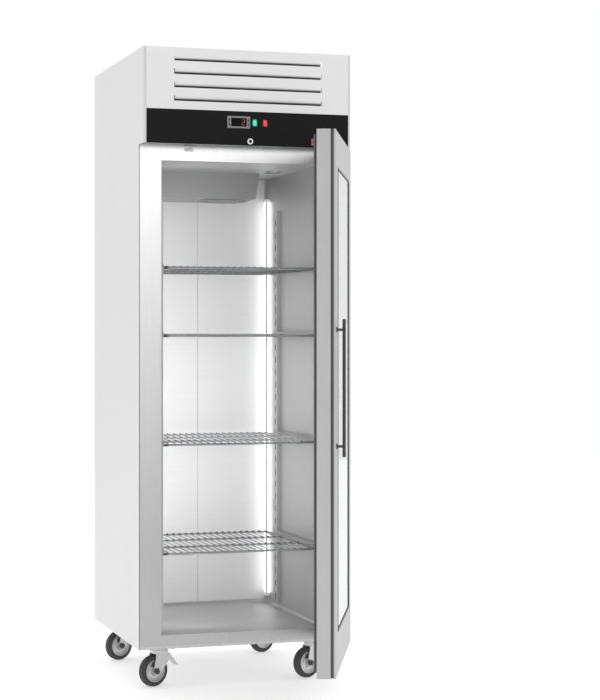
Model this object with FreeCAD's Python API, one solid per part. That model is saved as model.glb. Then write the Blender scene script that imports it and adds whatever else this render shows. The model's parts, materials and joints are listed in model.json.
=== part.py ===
"""Reach-in refrigerator: one upright cabinet with a glazed door, on swivel casters.

Frame: millimetres, +Z up. The origin is on the floor under the middle of the cabinet's
footprint. The front faces -Y, so +X is the right-hand side for someone who stands before it.
The door is modelled shut and then swung to its rest angle about the hinge axis.
"""
import FreeCAD, Part

import math
import os

Vector = FreeCAD.Vector
X_AXIS, Y_AXIS, Z_AXIS = Vector(1, 0, 0), Vector(0, 1, 0), Vector(0, 0, 1)

# ---------------------------------------------------------------- driving dimensions
WIDTH, DEPTH, HEIGHT = 680.0, 750.0, 2010.0
HOOD_OVERHANG = 64.0            # the hood stands this far in front of the cabinet's face
BODY_BOTTOM = 127.0             # underside of the body, on top of the casters
HOOD_BOTTOM = 1711.0
PANEL_SPLIT = 1818.0            # black control panel below, grille above
OPENING_BOTTOM, OPENING_TOP = 170.0, 1663.0
SIDE_WALL, REAR_WALL = 72.0, 50.0
SHEET = 1.0
PANEL_SHEET = 1.2
DOOR_OPEN_ANGLE = 67.0

half_w = WIDTH / 2
y_hood = -DEPTH / 2
y_face = y_hood + HOOD_OVERHANG
y_back = DEPTH / 2
half_cavity = half_w - SIDE_WALL
y_cavity_back = y_back - REAR_WALL
FRAME_THICK = 8.0
y_frame_back = y_face + FRAME_THICK
half_frame = half_w - 3.0       # a 2 mm shadow gap stays beside the side panels
LIP_HEIGHT = 9.0
frame_bottom = BODY_BOTTOM + LIP_HEIGHT

# hood
CORNER_RADIUS = 8.0
FLANGE = 9.0
half_panel = half_w - FLANGE - 0.2
y_panel_back = y_hood + PANEL_SHEET
SLOT_COUNT, SLOT_PITCH, SLOT_HEIGHT, SLOT_HALF = 4, 41.7, 16.0, 243.0
TOP_SLOT = 1977.0
BLADE_HALF = SLOT_HALF - 4.0

# controls on the black panel
CONTROL_Z = 1783.0
CONTROLLER_X, CONTROLLER_W, CONTROLLER_H = -34.0, 74.5, 38.0
BUTTON_W, BUTTON_H, BUTTON_PLAY = 5.0, 7.0, 0.3
BUTTON_DX, BUTTON_DZ = 31.0, 7.5
WINDOW_HALF_W, WINDOW_HALF_H = 25.5, 13.5
BEZEL_PROUD, CASE_HALF_W, CASE_HALF_H, CASE_DEPTH = 4.0, 35.0, 14.5, 50.0
POWER_X, LIGHT_X = 19.0, 53.0
ROCKER_W, ROCKER_H, ROCKER_TILT = 16.0, 23.0, 6.0
y_rocker_pivot = y_hood + 4.0
SWITCH_HALF_W, SWITCH_HALF_H, SWITCH_DEPTH = 9.0, 13.0, 22.0
LOCK_X, LOCK_Z = 4.0, 1724.0
BARREL_RADIUS, PLUG_RADIUS = 7.0, 5.2
CAM_LENGTH, CAM_WIDTH, CAM_THICK = 28.0, 11.0, 2.5
y_cam = y_hood + 23.0
PLUNGER_X, PLUNGER_Z, PLUNGER_RADIUS = -182.0, 1698.0, 4.5

# door, modelled shut
DOOR_HALF = 337.0
DOOR_BOTTOM, DOOR_TOP = 131.0, 1705.0
DOOR_THICK, SKIN_THICK, CORE_THICK = 54.0, 5.0, 9.0
STILE, TOP_RAIL, BOTTOM_RAIL = 95.0, 105.0, 122.0
y_door_in = y_hood + DOOR_THICK
HINGE_X, HINGE_Y = 330.0, y_hood + 12.0
PIN_RADIUS, BUSH_RADIUS, BUSH_LENGTH = 4.0, 6.5, 20.0
GASKET_INSET, GASKET_W = 14.0, 16.0
HANDLE_X, HANDLE_BOTTOM, HANDLE_TOP = -292.0, 763.0, 1161.0
HANDLE_RADIUS, HANDLE_STANDOFF = 5.0, 22.0
POST_RADIUS, POST_SPACING = 4.0, 336.0

# shelving
SHELF_LEVELS = (430.0, 774.0, 1118.0, 1333.0)
SLOT_STEP = 43.0
PILASTER_DEPTH, PILASTER_W = 12.0, 40.0
PILASTER_Y = (-265.0, 175.0)
PILASTER_BOTTOM, PILASTER_TOP = 190.0, 1540.0
SHELF_HALF, SHELF_FRONT, SHELF_BACK = 252.0, -298.0, 262.0
CROSS_ROD_Y = (-115.0, 80.0)
RUNNER_FRONT, RUNNER_BACK, RUNNER_LEDGE, RUNNER_SHEET = -290.0, 200.0, 17.0, 1.5
ROD_RADIUS, WIRE_RADIUS, WIRE_STEP = 3.5, 1.75, 22.0

# casters
CASTER_X, CASTER_Y_FRONT, CASTER_Y_BACK = half_w - 84.0, -235.0, 275.0
WHEEL_RADIUS, WHEEL_WIDTH, TRAIL = 50.0, 28.0, 24.0
CASTER_HEADING = 21.7
FORK_GAP, FORK_SHEET = 3.0, 3.0
HUB_RADIUS, AXLE_RADIUS = 36.0, 5.0
PEDAL_PRESSED = 25.0
PEDAL_PIVOT_X, PEDAL_PIVOT_Z, PEDAL_HALF = 33.0, 96.0, 13.0

# machine compartment, on top of the cabinet
deck = HOOD_BOTTOM + PANEL_SHEET
RAIL_HEIGHT = 12.0
COMPRESSOR_X, COMPRESSOR_Y, COMPRESSOR_RADIUS, COMPRESSOR_HEIGHT = 165.0, 150.0, 82.0, 185.0
FAN_X, FAN_Z, COND_FAN_RADIUS = -90.0, 1862.0, 100.0
CONDENSER_HALF = 130.0
y_condenser, y_shroud = -320.0, -268.0
GLAND_X, GLAND_Z, GLAND_BORE, GLAND_DEPTH = 275.0, deck + 40.0, 4.5, 30.0
PIPE_HOLE_X, PIPE_HOLE_Y, PIPE_HOLE_RADIUS = -150.0, 270.0, 16.0

# evaporator, under the ceiling
EVAP_X0, EVAP_X1, EVAP_Y0, EVAP_Y1 = -235.0, 168.0, 75.0, 315.0
EVAP_BOTTOM, EVAP_SLANT = 1576.0, 13.0
EVAP_FAN_X, EVAP_FAN_Y, EVAP_FAN_RADIUS = 70.0, 195.0, 78.0

# lamps on the side walls
LAMP_DEPTH, LAMP_Y0, LAMP_Y1 = 16.0, 275.0, 305.0
LAMP_BOTTOM, LAMP_TOP = 195.0, 1592.0


# ---------------------------------------------------------------- helpers
def box(x0, x1, y0, y1, z0, z1):
    return Part.makeBox(x1 - x0, y1 - y0, z1 - z0, Vector(x0, y0, z0))


def rod(start, end, radius):
    start, end = Vector(*start), Vector(*end)
    return Part.makeCylinder(radius, start.distanceToPoint(end), start, end - start)


def prism(points, along):
    """A closed polygon pushed along a vector."""
    outline = Part.makePolygon([Vector(*p) for p in points + points[:1]])
    return Part.Face(outline).extrude(Vector(*along))


def group(solids):
    return Part.makeCompound(solids)


def mirrored(shape):
    return shape.mirror(Vector(0, 0, 0), X_AXIS)


def both_sides(shape):
    return [mirrored(shape), shape]


def frame_strips(half, z0, z1, side, bottom, top, y0, y1):
    """Two full-height stiles with a bottom and a top rail between them."""
    inner = half - side
    return [box(-half, -inner, y0, y1, z0, z1), box(inner, half, y0, y1, z0, z1),
            box(-inner, inner, y0, y1, z0, z0 + bottom), box(-inner, inner, y0, y1, z1 - top, z1)]


def bent_tube(points, bend, radius):
    """A tube along straight runs joined by tangent arcs."""
    points = [Vector(*p) for p in points]
    edges, start = [], points[0]
    for before, corner, after in zip(points, points[1:], points[2:]):
        back, ahead = (before - corner).normalize(), (after - corner).normalize()
        half_angle = back.getAngle(ahead) / 2
        reach = bend / math.tan(half_angle)
        inward = (back + ahead).normalize()
        arc_start, arc_end = corner + back * reach, corner + ahead * reach
        arc_middle = corner + inward * (bend / math.sin(half_angle) - bend)
        edges += [Part.LineSegment(start, arc_start).toShape(),
                  Part.Arc(arc_start, arc_middle, arc_end).toShape()]
        start = arc_end
    edges.append(Part.LineSegment(start, points[-1]).toShape())
    section = Part.Wire(Part.makeCircle(radius, points[0], points[1] - points[0]))
    return Part.Wire(edges).makePipeShell([section], True, True)


def fan_wheel(hub_radius, hub_length, tip_radius, blade_width, pitch):
    """A fan about +Z with its hub's lower face at the origin and five pitched blades."""
    wheel = Part.makeCylinder(hub_radius, hub_length)
    for number in range(5):
        blade = box(hub_radius - 3, tip_radius, -blade_width / 2, blade_width / 2, -0.9, 0.9)
        blade.rotate(Vector(0, 0, 0), X_AXIS, pitch)
        blade.translate(Vector(0, 0, hub_length / 2))
        blade.rotate(Vector(0, 0, 0), Z_AXIS, number * 72)
        wheel = wheel.fuse(blade)
    return wheel.removeSplitter()


# ---------------------------------------------------------------- cabinet shell
def side_panel():
    """The right-hand sheet: flat wall, and the hood's cheek with its rounded front corner."""
    wall = box(half_w - SHEET, half_w, y_face, y_back, BODY_BOTTOM, HEIGHT)
    cheek = box(half_w - FLANGE, half_w, y_hood, y_face, HOOD_BOTTOM, HEIGHT)
    front_edges = [edge for edge in cheek.Edges if edge.Length > 250
                   and edge.BoundBox.XMin > half_w - 1 and edge.BoundBox.YMax < y_hood + 1]
    cheek = cheek.makeFillet(CORNER_RADIUS, front_edges)
    hollow = box(half_w - FLANGE - 1, half_w - SHEET, y_hood + SHEET, y_face + 1, 0, HEIGHT + 1)
    hollow_edges = [edge for edge in hollow.Edges if edge.Length > 250
                    and edge.BoundBox.XMin > half_w - 2 and edge.BoundBox.YMax < y_hood + 2]
    hollow = hollow.makeFillet(CORNER_RADIUS - SHEET, hollow_edges)
    return group([wall, cheek.cut(hollow)])


def back_panel():
    return box(-half_w + SHEET, half_w - SHEET, y_back - SHEET, y_back, BODY_BOTTOM, HOOD_BOTTOM)


def base_pan():
    """Underside sheet with the rounded lip that shows below the front frame."""
    sheet = box(-half_w + SHEET, half_w - SHEET, y_frame_back, y_back - SHEET,
                BODY_BOTTOM, BODY_BOTTOM + SHEET)
    lip = box(-half_frame, half_frame, y_face, y_frame_back, BODY_BOTTOM, frame_bottom)
    nose = [edge for edge in lip.Edges if edge.Length > 600
            and edge.BoundBox.YMax < y_face + 1 and edge.BoundBox.ZMax < BODY_BOTTOM + 1]
    return group([sheet, lip.makeFillet(6.5, nose)])


def pipe_hole():
    """The hole in the ceiling where the refrigerant lines go down to the evaporator."""
    return rod((PIPE_HOLE_X, PIPE_HOLE_Y, OPENING_TOP - 5), (PIPE_HOLE_X, PIPE_HOLE_Y, HOOD_BOTTOM + 5),
               PIPE_HOLE_RADIUS)


def insulation():
    """Foam slabs between the outer sheets and the liner."""
    outer, inner = half_w - SHEET, half_cavity + SHEET
    low, high = BODY_BOTTOM + SHEET, HOOD_BOTTOM
    y_inner = y_cavity_back + SHEET
    right = box(inner, outer, y_frame_back, y_back - SHEET, low, high)
    rear = box(-inner, inner, y_inner, y_back - SHEET, low, high)
    floor = box(-inner, inner, y_frame_back, y_inner, low, OPENING_BOTTOM - SHEET)
    ceiling = box(-inner, inner, y_frame_back, y_inner, OPENING_TOP + SHEET, high)
    switch_pocket = rod((PLUNGER_X, y_frame_back - 1, PLUNGER_Z), (PLUNGER_X, y_frame_back + 26, PLUNGER_Z), 7)
    return group(both_sides(right) + [rear, floor, ceiling.cut(pipe_hole()).cut(switch_pocket)])


def inner_liner():
    """Stainless inner walls, floor and ceiling."""
    low, high = OPENING_BOTTOM - SHEET, OPENING_TOP + SHEET
    right = box(half_cavity, half_cavity + SHEET, y_frame_back, y_cavity_back + SHEET, low, high)
    rear = box(-half_cavity, half_cavity, y_cavity_back, y_cavity_back + SHEET, low, high)
    floor = box(-half_cavity, half_cavity, y_frame_back, y_cavity_back, low, OPENING_BOTTOM)
    ceiling = box(-half_cavity, half_cavity, y_frame_back, y_cavity_back, OPENING_TOP, high)
    return group(both_sides(right) + [rear, floor, ceiling.cut(pipe_hole())])


def front_frame():
    """The face round the opening, where the door's gasket lands."""
    strips = frame_strips(half_frame, frame_bottom, HOOD_BOTTOM, half_frame - half_cavity,
                          OPENING_BOTTOM - frame_bottom, HOOD_BOTTOM - OPENING_TOP, y_face, y_frame_back)
    switch_hole = rod((PLUNGER_X, y_face - 1, PLUNGER_Z), (PLUNGER_X, y_frame_back + 1, PLUNGER_Z), 6)
    return group([strip.cut(switch_hole) for strip in strips])


# ---------------------------------------------------------------- hood
def grille_panel():
    """Upper hood sheet with a folded top and four rolled louvres."""
    panel = box(-half_panel, half_panel, y_hood, y_panel_back, PANEL_SPLIT, HEIGHT)
    panel = panel.fuse(box(-half_panel, half_panel, y_hood, y_hood + 16, HEIGHT - PANEL_SHEET, HEIGHT))
    for number in range(SLOT_COUNT):
        middle = TOP_SLOT - number * SLOT_PITCH
        top = middle + SLOT_HEIGHT / 2
        panel = panel.cut(box(-SLOT_HALF, SLOT_HALF, y_hood - 1, y_panel_back + 1, middle - SLOT_HEIGHT / 2, top))
        panel = panel.fuse(louvre_blade(top))
    return panel.removeSplitter()


def louvre_blade(top):
    """A quarter roll: flush with the face along its upper edge, turning inwards as it falls."""
    centre = Vector(-BLADE_HALF, y_hood + SLOT_HEIGHT, top)
    outer = Part.makeCylinder(SLOT_HEIGHT, 2 * BLADE_HALF, centre, X_AXIS)
    inner = Part.makeCylinder(SLOT_HEIGHT - PANEL_SHEET, 2 * BLADE_HALF, centre, X_AXIS)
    quarter = box(-BLADE_HALF, BLADE_HALF, y_hood, y_hood + SLOT_HEIGHT, top - SLOT_HEIGHT, top)
    return outer.cut(inner).common(quarter)


def control_panel():
    """Black sheet with cut-outs for the controller, two rockers and the lock."""
    panel = box(-half_panel, half_panel, y_hood, y_panel_back, HOOD_BOTTOM, PANEL_SPLIT - 0.3)
    for x, width, height in ((CONTROLLER_X, 70.4, 29.4), (POWER_X, 18.4, 26.4), (LIGHT_X, 18.4, 26.4)):
        panel = panel.cut(box(x - width / 2, x + width / 2, y_hood - 1, y_panel_back + 1,
                              CONTROL_Z - height / 2, CONTROL_Z + height / 2))
    return panel.cut(rod((LOCK_X, y_hood - 1, LOCK_Z), (LOCK_X, y_panel_back + 1, LOCK_Z), BARREL_RADIUS + 0.2))


def hood_base():
    """Sheet that closes the hood from below, with a slot for the lock's cam."""
    wide = box(-half_w + SHEET, half_w - SHEET, y_hood + CORNER_RADIUS, y_frame_back,
               HOOD_BOTTOM, HOOD_BOTTOM + PANEL_SHEET)
    front = box(-half_panel, half_panel, y_panel_back, y_hood + CORNER_RADIUS,
                HOOD_BOTTOM, HOOD_BOTTOM + PANEL_SHEET)
    slot = box(LOCK_X - 9, LOCK_X + 28, y_cam - 2, y_cam + CAM_THICK + 2, HOOD_BOTTOM - 1, HOOD_BOTTOM + 3)
    return wide.fuse(front).cut(slot).removeSplitter()


# ---------------------------------------------------------------- controls
def button_centres():
    return [(CONTROLLER_X + side * BUTTON_DX, CONTROL_Z + row * BUTTON_DZ)
            for side in (-1, 1) for row in (1, -1)]


def controller_case():
    """Bezel with a window recess and four button wells, and the case behind the panel."""
    bezel = box(CONTROLLER_X - CONTROLLER_W / 2, CONTROLLER_X + CONTROLLER_W / 2, y_hood - BEZEL_PROUD, y_hood,
                CONTROL_Z - CONTROLLER_H / 2, CONTROL_Z + CONTROLLER_H / 2)
    bezel = bezel.makeFillet(1.5, [edge for edge in bezel.Edges if edge.BoundBox.YMax < y_hood - 3.5])
    case = bezel.fuse(box(CONTROLLER_X - CASE_HALF_W, CONTROLLER_X + CASE_HALF_W, y_hood, y_hood + CASE_DEPTH,
                          CONTROL_Z - CASE_HALF_H, CONTROL_Z + CASE_HALF_H))
    window = box(CONTROLLER_X - WINDOW_HALF_W, CONTROLLER_X + WINDOW_HALF_W, y_hood - 5, y_hood - 2.8,
                 CONTROL_Z - WINDOW_HALF_H, CONTROL_Z + WINDOW_HALF_H)
    case = case.cut(window)
    for x, z in button_centres():
        half_w_well, half_h_well = BUTTON_W / 2 + BUTTON_PLAY, BUTTON_H / 2 + BUTTON_PLAY
        well = box(x - half_w_well, x + half_w_well, y_hood - 5, y_hood + 3, z - half_h_well, z + half_h_well)
        case = case.cut(well)
    return case.removeSplitter()


def controller_button(x, z):
    button = box(x - BUTTON_W / 2, x + BUTTON_W / 2, y_hood - 4.9, y_hood + 1, z - BUTTON_H / 2, z + BUTTON_H / 2)
    front = [edge for edge in button.Edges if edge.BoundBox.YMax < y_hood - 4.8]
    return button.makeFillet(0.5, front)


def switch_frame(x):
    """Bezel and body of a rocker switch."""
    bezel = box(x - 10.5, x + 10.5, y_hood - 2, y_hood, CONTROL_Z - 14.5, CONTROL_Z + 14.5)
    body = box(x - SWITCH_HALF_W, x + SWITCH_HALF_W, y_hood, y_hood + SWITCH_DEPTH,
               CONTROL_Z - SWITCH_HALF_H, CONTROL_Z + SWITCH_HALF_H)
    pocket = box(x - ROCKER_W / 2 - 0.4, x + ROCKER_W / 2 + 0.4, y_hood - 3, y_hood + 15,
                 CONTROL_Z - 12.6, CONTROL_Z + 12.6)
    return bezel.fuse(body).cut(pocket).removeSplitter()


def rocker(x):
    """A rocker with a shallow V front, tipped so that its lower half is pressed in."""
    half = ROCKER_H / 2
    side = [(0, y_hood - 1.0, 0), (0, y_hood - 3.0, half), (0, y_hood + 4, half), (0, y_hood + 9, half - 4),
            (0, y_hood + 9, -half + 4), (0, y_hood + 4, -half), (0, y_hood - 3.0, -half)]
    paddle = prism(side, (ROCKER_W, 0, 0))
    paddle.translate(Vector(x - ROCKER_W / 2, 0, CONTROL_Z))
    paddle.rotate(Vector(x, y_rocker_pivot, CONTROL_Z), X_AXIS, -ROCKER_TILT)
    return paddle


def lock_barrel():
    """Flange, threaded body and clamping nut of the cam lock."""
    flange = rod((LOCK_X, y_hood - 2.5, LOCK_Z), (LOCK_X, y_hood, LOCK_Z), 9)
    body = rod((LOCK_X, y_hood, LOCK_Z), (LOCK_X, y_cam - 1, LOCK_Z), BARREL_RADIUS)
    nut_points = [(LOCK_X + 11 * math.cos(math.radians(60 * k)), y_panel_back,
                   LOCK_Z + 11 * math.sin(math.radians(60 * k))) for k in range(6)]
    nut = prism(nut_points, (0, 4, 0))
    bore = rod((LOCK_X, y_hood - 4, LOCK_Z), (LOCK_X, y_cam + 1, LOCK_Z), PLUG_RADIUS + 0.3)
    return flange.fuse(body).fuse(nut).cut(bore).removeSplitter()


def lock_plug():
    """Key plug with the cam on its inner end; the cam lies level when unlocked."""
    plug = rod((LOCK_X, y_hood - 3, LOCK_Z), (LOCK_X, y_cam, LOCK_Z), PLUG_RADIUS)
    keyway = box(LOCK_X - 3.4, LOCK_X + 3.4, y_hood - 4, y_hood + 1, LOCK_Z - 0.7, LOCK_Z + 0.7)
    cam = box(LOCK_X - 7, LOCK_X + CAM_LENGTH - 2, y_cam, y_cam + CAM_THICK,
              LOCK_Z - CAM_WIDTH / 2, LOCK_Z + CAM_WIDTH / 2)
    ends = [edge for edge in cam.Edges if abs(edge.Length - CAM_THICK) < 0.01]
    return plug.cut(keyway).fuse(cam.makeFillet(3, ends)).removeSplitter()


def door_switch_case():
    collar = rod((PLUNGER_X, y_face - 2, PLUNGER_Z), (PLUNGER_X, y_face, PLUNGER_Z), 6.4)
    body = rod((PLUNGER_X, y_face, PLUNGER_Z), (PLUNGER_X, y_face + 32, PLUNGER_Z), 5.9)
    bore = rod((PLUNGER_X, y_face - 3, PLUNGER_Z), (PLUNGER_X, y_face + 29, PLUNGER_Z), PLUNGER_RADIUS + 0.3)
    return collar.fuse(body).cut(bore).removeSplitter()


def door_switch_plunger():
    """Its tip stops half a millimetre short of the shut door."""
    plunger = rod((PLUNGER_X, y_door_in + 0.5, PLUNGER_Z), (PLUNGER_X, y_face + 20, PLUNGER_Z), PLUNGER_RADIUS)
    tip = [edge for edge in plunger.Edges if edge.BoundBox.YMax < y_door_in + 1]
    return plunger.makeFillet(2, tip)


# ---------------------------------------------------------------- machine compartment
def machine_deck():
    """Sheet over the ceiling foam, and two rails that carry the condensing unit."""
    sheet = box(-half_w + SHEET, half_w - SHEET, y_frame_back, y_back - SHEET, HOOD_BOTTOM, deck)
    sheet = sheet.cut(pipe_hole())
    rails = [box(x - 15, x + 15, -280, 255, deck, deck + RAIL_HEIGHT)
             for x in (COMPRESSOR_X - 75, COMPRESSOR_X + 75)]
    return group([sheet] + rails)


def compressor():
    """Hermetic shell with its seam, base plate and terminal cover."""
    foot = deck + RAIL_HEIGHT
    base = box(COMPRESSOR_X - 105, COMPRESSOR_X + 105, COMPRESSOR_Y - 70, COMPRESSOR_Y + 70,
               foot, foot + 4)
    shell = Part.makeCylinder(COMPRESSOR_RADIUS, COMPRESSOR_HEIGHT, Vector(COMPRESSOR_X, COMPRESSOR_Y, foot + 4))
    shell = shell.makeFillet(38, [edge for edge in shell.Edges if edge.BoundBox.ZMin > deck + 100])
    seam = Part.makeCylinder(COMPRESSOR_RADIUS + 5, 5, Vector(COMPRESSOR_X, COMPRESSOR_Y, deck + 105))
    cover = box(COMPRESSOR_X - 120, COMPRESSOR_X - 70, COMPRESSOR_Y - 28, COMPRESSOR_Y + 28, deck + 60, deck + 120)
    return base.fuse(shell).fuse(seam).fuse(cover).removeSplitter()


def condenser_coil():
    """Finned block between two end plates, behind the louvres."""
    half = CONDENSER_HALF
    block = box(FAN_X - half, FAN_X + half, y_condenser, y_shroud, FAN_Z - half, FAN_Z + half)
    plates = [box(x, x + 2, y_condenser, y_shroud, deck, FAN_Z + half + 2)
              for x in (FAN_X - half - 2, FAN_X + half)]
    return group([block] + plates)


def condenser_fan_shroud():
    """Square plate with a round mouth, a motor on three arms behind it."""
    half = CONDENSER_HALF + 2
    plate = box(FAN_X - half, FAN_X + half, y_shroud, y_shroud + 2, deck, FAN_Z + half)
    mouth = rod((FAN_X, y_shroud - 1, FAN_Z), (FAN_X, y_shroud + 60, FAN_Z), COND_FAN_RADIUS + 6)
    rim = rod((FAN_X, y_shroud, FAN_Z), (FAN_X, y_shroud + 40, FAN_Z), COND_FAN_RADIUS + 8).cut(mouth)
    motor = rod((FAN_X, y_shroud + 46, FAN_Z), (FAN_X, y_shroud + 100, FAN_Z), 40)
    shroud = plate.cut(mouth).fuse(rim).fuse(motor)
    for number in range(3):
        arm = box(-6, 6, y_shroud + 46, y_shroud + 49, 30, COND_FAN_RADIUS + 8)
        foot = box(-6, 6, y_shroud + 2, y_shroud + 49, COND_FAN_RADIUS + 6.5, COND_FAN_RADIUS + 11)
        arm = arm.fuse(foot)
        arm.rotate(Vector(0, 0, 0), Y_AXIS, 120 * number)
        arm.translate(Vector(FAN_X, 0, FAN_Z))
        shroud = shroud.fuse(arm)
    return shroud.removeSplitter()


def condenser_fan_blades():
    wheel = fan_wheel(24, 28, COND_FAN_RADIUS, 44, 32)
    wheel.rotate(Vector(0, 0, 0), X_AXIS, -90)
    wheel.translate(Vector(FAN_X, y_shroud + 10, FAN_Z))
    return wheel


def refrigerant_pipes():
    """Discharge line to the condenser, liquid line with its drier, and the suction line."""
    top = deck + 16
    discharge = bent_tube([(COMPRESSOR_X + 60, COMPRESSOR_Y - 62, top + 40), (COMPRESSOR_X + 60, -160, top + 40),
                           (COMPRESSOR_X + 60, -160, FAN_Z + 60), (COMPRESSOR_X + 60, -300, FAN_Z + 60),
                           (FAN_X + CONDENSER_HALF + 2, -300, FAN_Z + 60)], 16, 4)
    liquid = bent_tube([(FAN_X - CONDENSER_HALF - 2, -300, deck + 40), (FAN_X - 185, -300, deck + 40),
                        (FAN_X - 185, PIPE_HOLE_Y - 8, deck + 40), (PIPE_HOLE_X, PIPE_HOLE_Y - 8, deck + 40),
                        (PIPE_HOLE_X, PIPE_HOLE_Y - 8, OPENING_TOP - 10)], 14, 3)
    drier = rod((FAN_X - 185, -120, deck + 40), (FAN_X - 185, -10, deck + 40), 12)
    drier = drier.makeFillet(6, drier.Edges[:1] + drier.Edges[2:])
    suction = bent_tube([(PIPE_HOLE_X, PIPE_HOLE_Y + 7, OPENING_TOP - 10), (PIPE_HOLE_X, PIPE_HOLE_Y + 7, deck + 80),
                         (COMPRESSOR_X + 20, PIPE_HOLE_Y + 7, deck + 80),
                         (COMPRESSOR_X + 20, COMPRESSOR_Y + 81, deck + 80)], 16, 5)
    return group([discharge, liquid.fuse(drier).removeSplitter(), suction])


def electrical_box():
    """Terminal box with the gland for the mains lead."""
    case = box(GLAND_X - 50, GLAND_X + 50, 270, 360, deck, deck + 90)
    case = case.makeFillet(3, [edge for edge in case.Edges if edge.BoundBox.ZMin > deck + 80])
    gland = rod((GLAND_X, 360, GLAND_Z), (GLAND_X, y_back, GLAND_Z), 9)
    bore = rod((GLAND_X, y_back - GLAND_DEPTH, GLAND_Z), (GLAND_X, y_back + 1, GLAND_Z), GLAND_BORE)
    return case.fuse(gland).cut(bore).removeSplitter()


def rear_guard():
    """Sheet behind the machine compartment, with three columns of air slots."""
    guard = box(-half_w + SHEET, half_w - SHEET, y_back - SHEET, y_back, deck, HEIGHT - 20)
    slots = [box(x - 80, x + 80, y_back - 5, y_back + 5, z, z + 7)
             for x in (-200, 0, 200) for z in range(1800, 1960, 20)]
    gland_hole = rod((GLAND_X, y_back - 5, GLAND_Z), (GLAND_X, y_back + 5, GLAND_Z), 12)
    return guard.cut(group(slots)).cut(gland_hole)


# ---------------------------------------------------------------- evaporator
def evaporator_cover():
    """Sheet tray under the ceiling: slanted right end, round fan mouth in its floor."""
    z_top = OPENING_TOP
    outline = [(EVAP_X0, EVAP_Y0, EVAP_BOTTOM), (EVAP_X1 - EVAP_SLANT, EVAP_Y0, EVAP_BOTTOM),
               (EVAP_X1, EVAP_Y0, z_top), (EVAP_X0, EVAP_Y0, z_top)]
    outer = prism(outline, (0, EVAP_Y1 - EVAP_Y0, 0))
    wall = PANEL_SHEET
    inside = [(EVAP_X0 + wall, EVAP_Y0 + wall, EVAP_BOTTOM + wall),
              (EVAP_X1 - EVAP_SLANT - wall, EVAP_Y0 + wall, EVAP_BOTTOM + wall),
              (EVAP_X1 - wall, EVAP_Y0 + wall, z_top + 1), (EVAP_X0 + wall, EVAP_Y0 + wall, z_top + 1)]
    hollow = prism(inside, (0, EVAP_Y1 - EVAP_Y0 - 2 * wall, 0))
    mouth = rod((EVAP_FAN_X, EVAP_FAN_Y, EVAP_BOTTOM - 2), (EVAP_FAN_X, EVAP_FAN_Y, EVAP_BOTTOM + 3),
                EVAP_FAN_RADIUS + 4)
    return outer.cut(hollow).cut(mouth)


def evaporator_coil():
    """Finned block with its return bends on the front side."""
    block = box(-215, -35, EVAP_Y0 + 30, EVAP_Y1 - 75, EVAP_BOTTOM + 10, OPENING_TOP - 12)
    bends = []
    for x in range(-195, -50, 36):
        ring = Part.makeTorus(9, 3.5, Vector(x, EVAP_Y0 + 30, EVAP_BOTTOM + 40), Z_AXIS)
        half = box(x - 20, x + 20, EVAP_Y0 + 10, EVAP_Y0 + 30, EVAP_BOTTOM + 30, EVAP_BOTTOM + 50)
        bends.append(ring.common(half))
    return group([block] + bends)


def evaporator_fan_motor():
    """Motor hung from the ceiling on a strap."""
    motor = rod((EVAP_FAN_X, EVAP_FAN_Y, OPENING_TOP - 42), (EVAP_FAN_X, EVAP_FAN_Y, OPENING_TOP - 4), 30)
    strap = box(EVAP_FAN_X - 60, EVAP_FAN_X + 60, EVAP_FAN_Y - 10, EVAP_FAN_Y + 10, OPENING_TOP - 4, OPENING_TOP)
    return motor.fuse(strap).removeSplitter()


def evaporator_fan_blades():
    wheel = fan_wheel(20, 22, EVAP_FAN_RADIUS, 34, 30)
    wheel.translate(Vector(EVAP_FAN_X, EVAP_FAN_Y, EVAP_BOTTOM + 12))
    return wheel


# ---------------------------------------------------------------- cavity fittings
def led_lamps():
    """One upright lamp on each side wall, by the rear corner."""
    return group(both_sides(box(half_cavity - LAMP_DEPTH, half_cavity, LAMP_Y0, LAMP_Y1, LAMP_BOTTOM, LAMP_TOP)))


def pilaster(y):
    """Channel on the side wall with a row of slots for the runner hooks."""
    face = half_cavity - PILASTER_DEPTH
    channel = box(face, half_cavity, y - PILASTER_W / 2, y + PILASTER_W / 2, PILASTER_BOTTOM, PILASTER_TOP)
    channel = channel.cut(box(face + PANEL_SHEET, half_cavity + 1, y - PILASTER_W / 2 + PANEL_SHEET,
                              y + PILASTER_W / 2 - PANEL_SHEET, 0, HEIGHT))
    lowest = SHELF_LEVELS[0] - 5 - 5 * SLOT_STEP
    slots = [box(face - 1, face + 3, y - 4, y + 4, lowest + k * SLOT_STEP - 10, lowest + k * SLOT_STEP + 10)
             for k in range(31)]
    return channel.cut(group(slots))


def pilasters():
    return group([piece for y in PILASTER_Y for piece in both_sides(pilaster(y))])


def shelf_runner(level):
    """L-shaped runner with two hooks that drop into the pilaster slots."""
    face = half_cavity - PILASTER_DEPTH
    ledge_top = level - 2 * (ROD_RADIUS + WIRE_RADIUS) - 0.3
    runner = box(face - RUNNER_LEDGE, face, RUNNER_FRONT, RUNNER_BACK, ledge_top - RUNNER_SHEET, ledge_top)
    runner = runner.fuse(box(face - RUNNER_SHEET, face, RUNNER_FRONT, RUNNER_BACK,
                             ledge_top - RUNNER_SHEET, level + 6))
    for y in PILASTER_Y:
        runner = runner.fuse(box(face, face + 4, y - 3, y + 3, level - 11, level + 1))
    return runner.removeSplitter()


def shelf_runners():
    return group([piece for level in SHELF_LEVELS for piece in both_sides(shelf_runner(level))])


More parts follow.
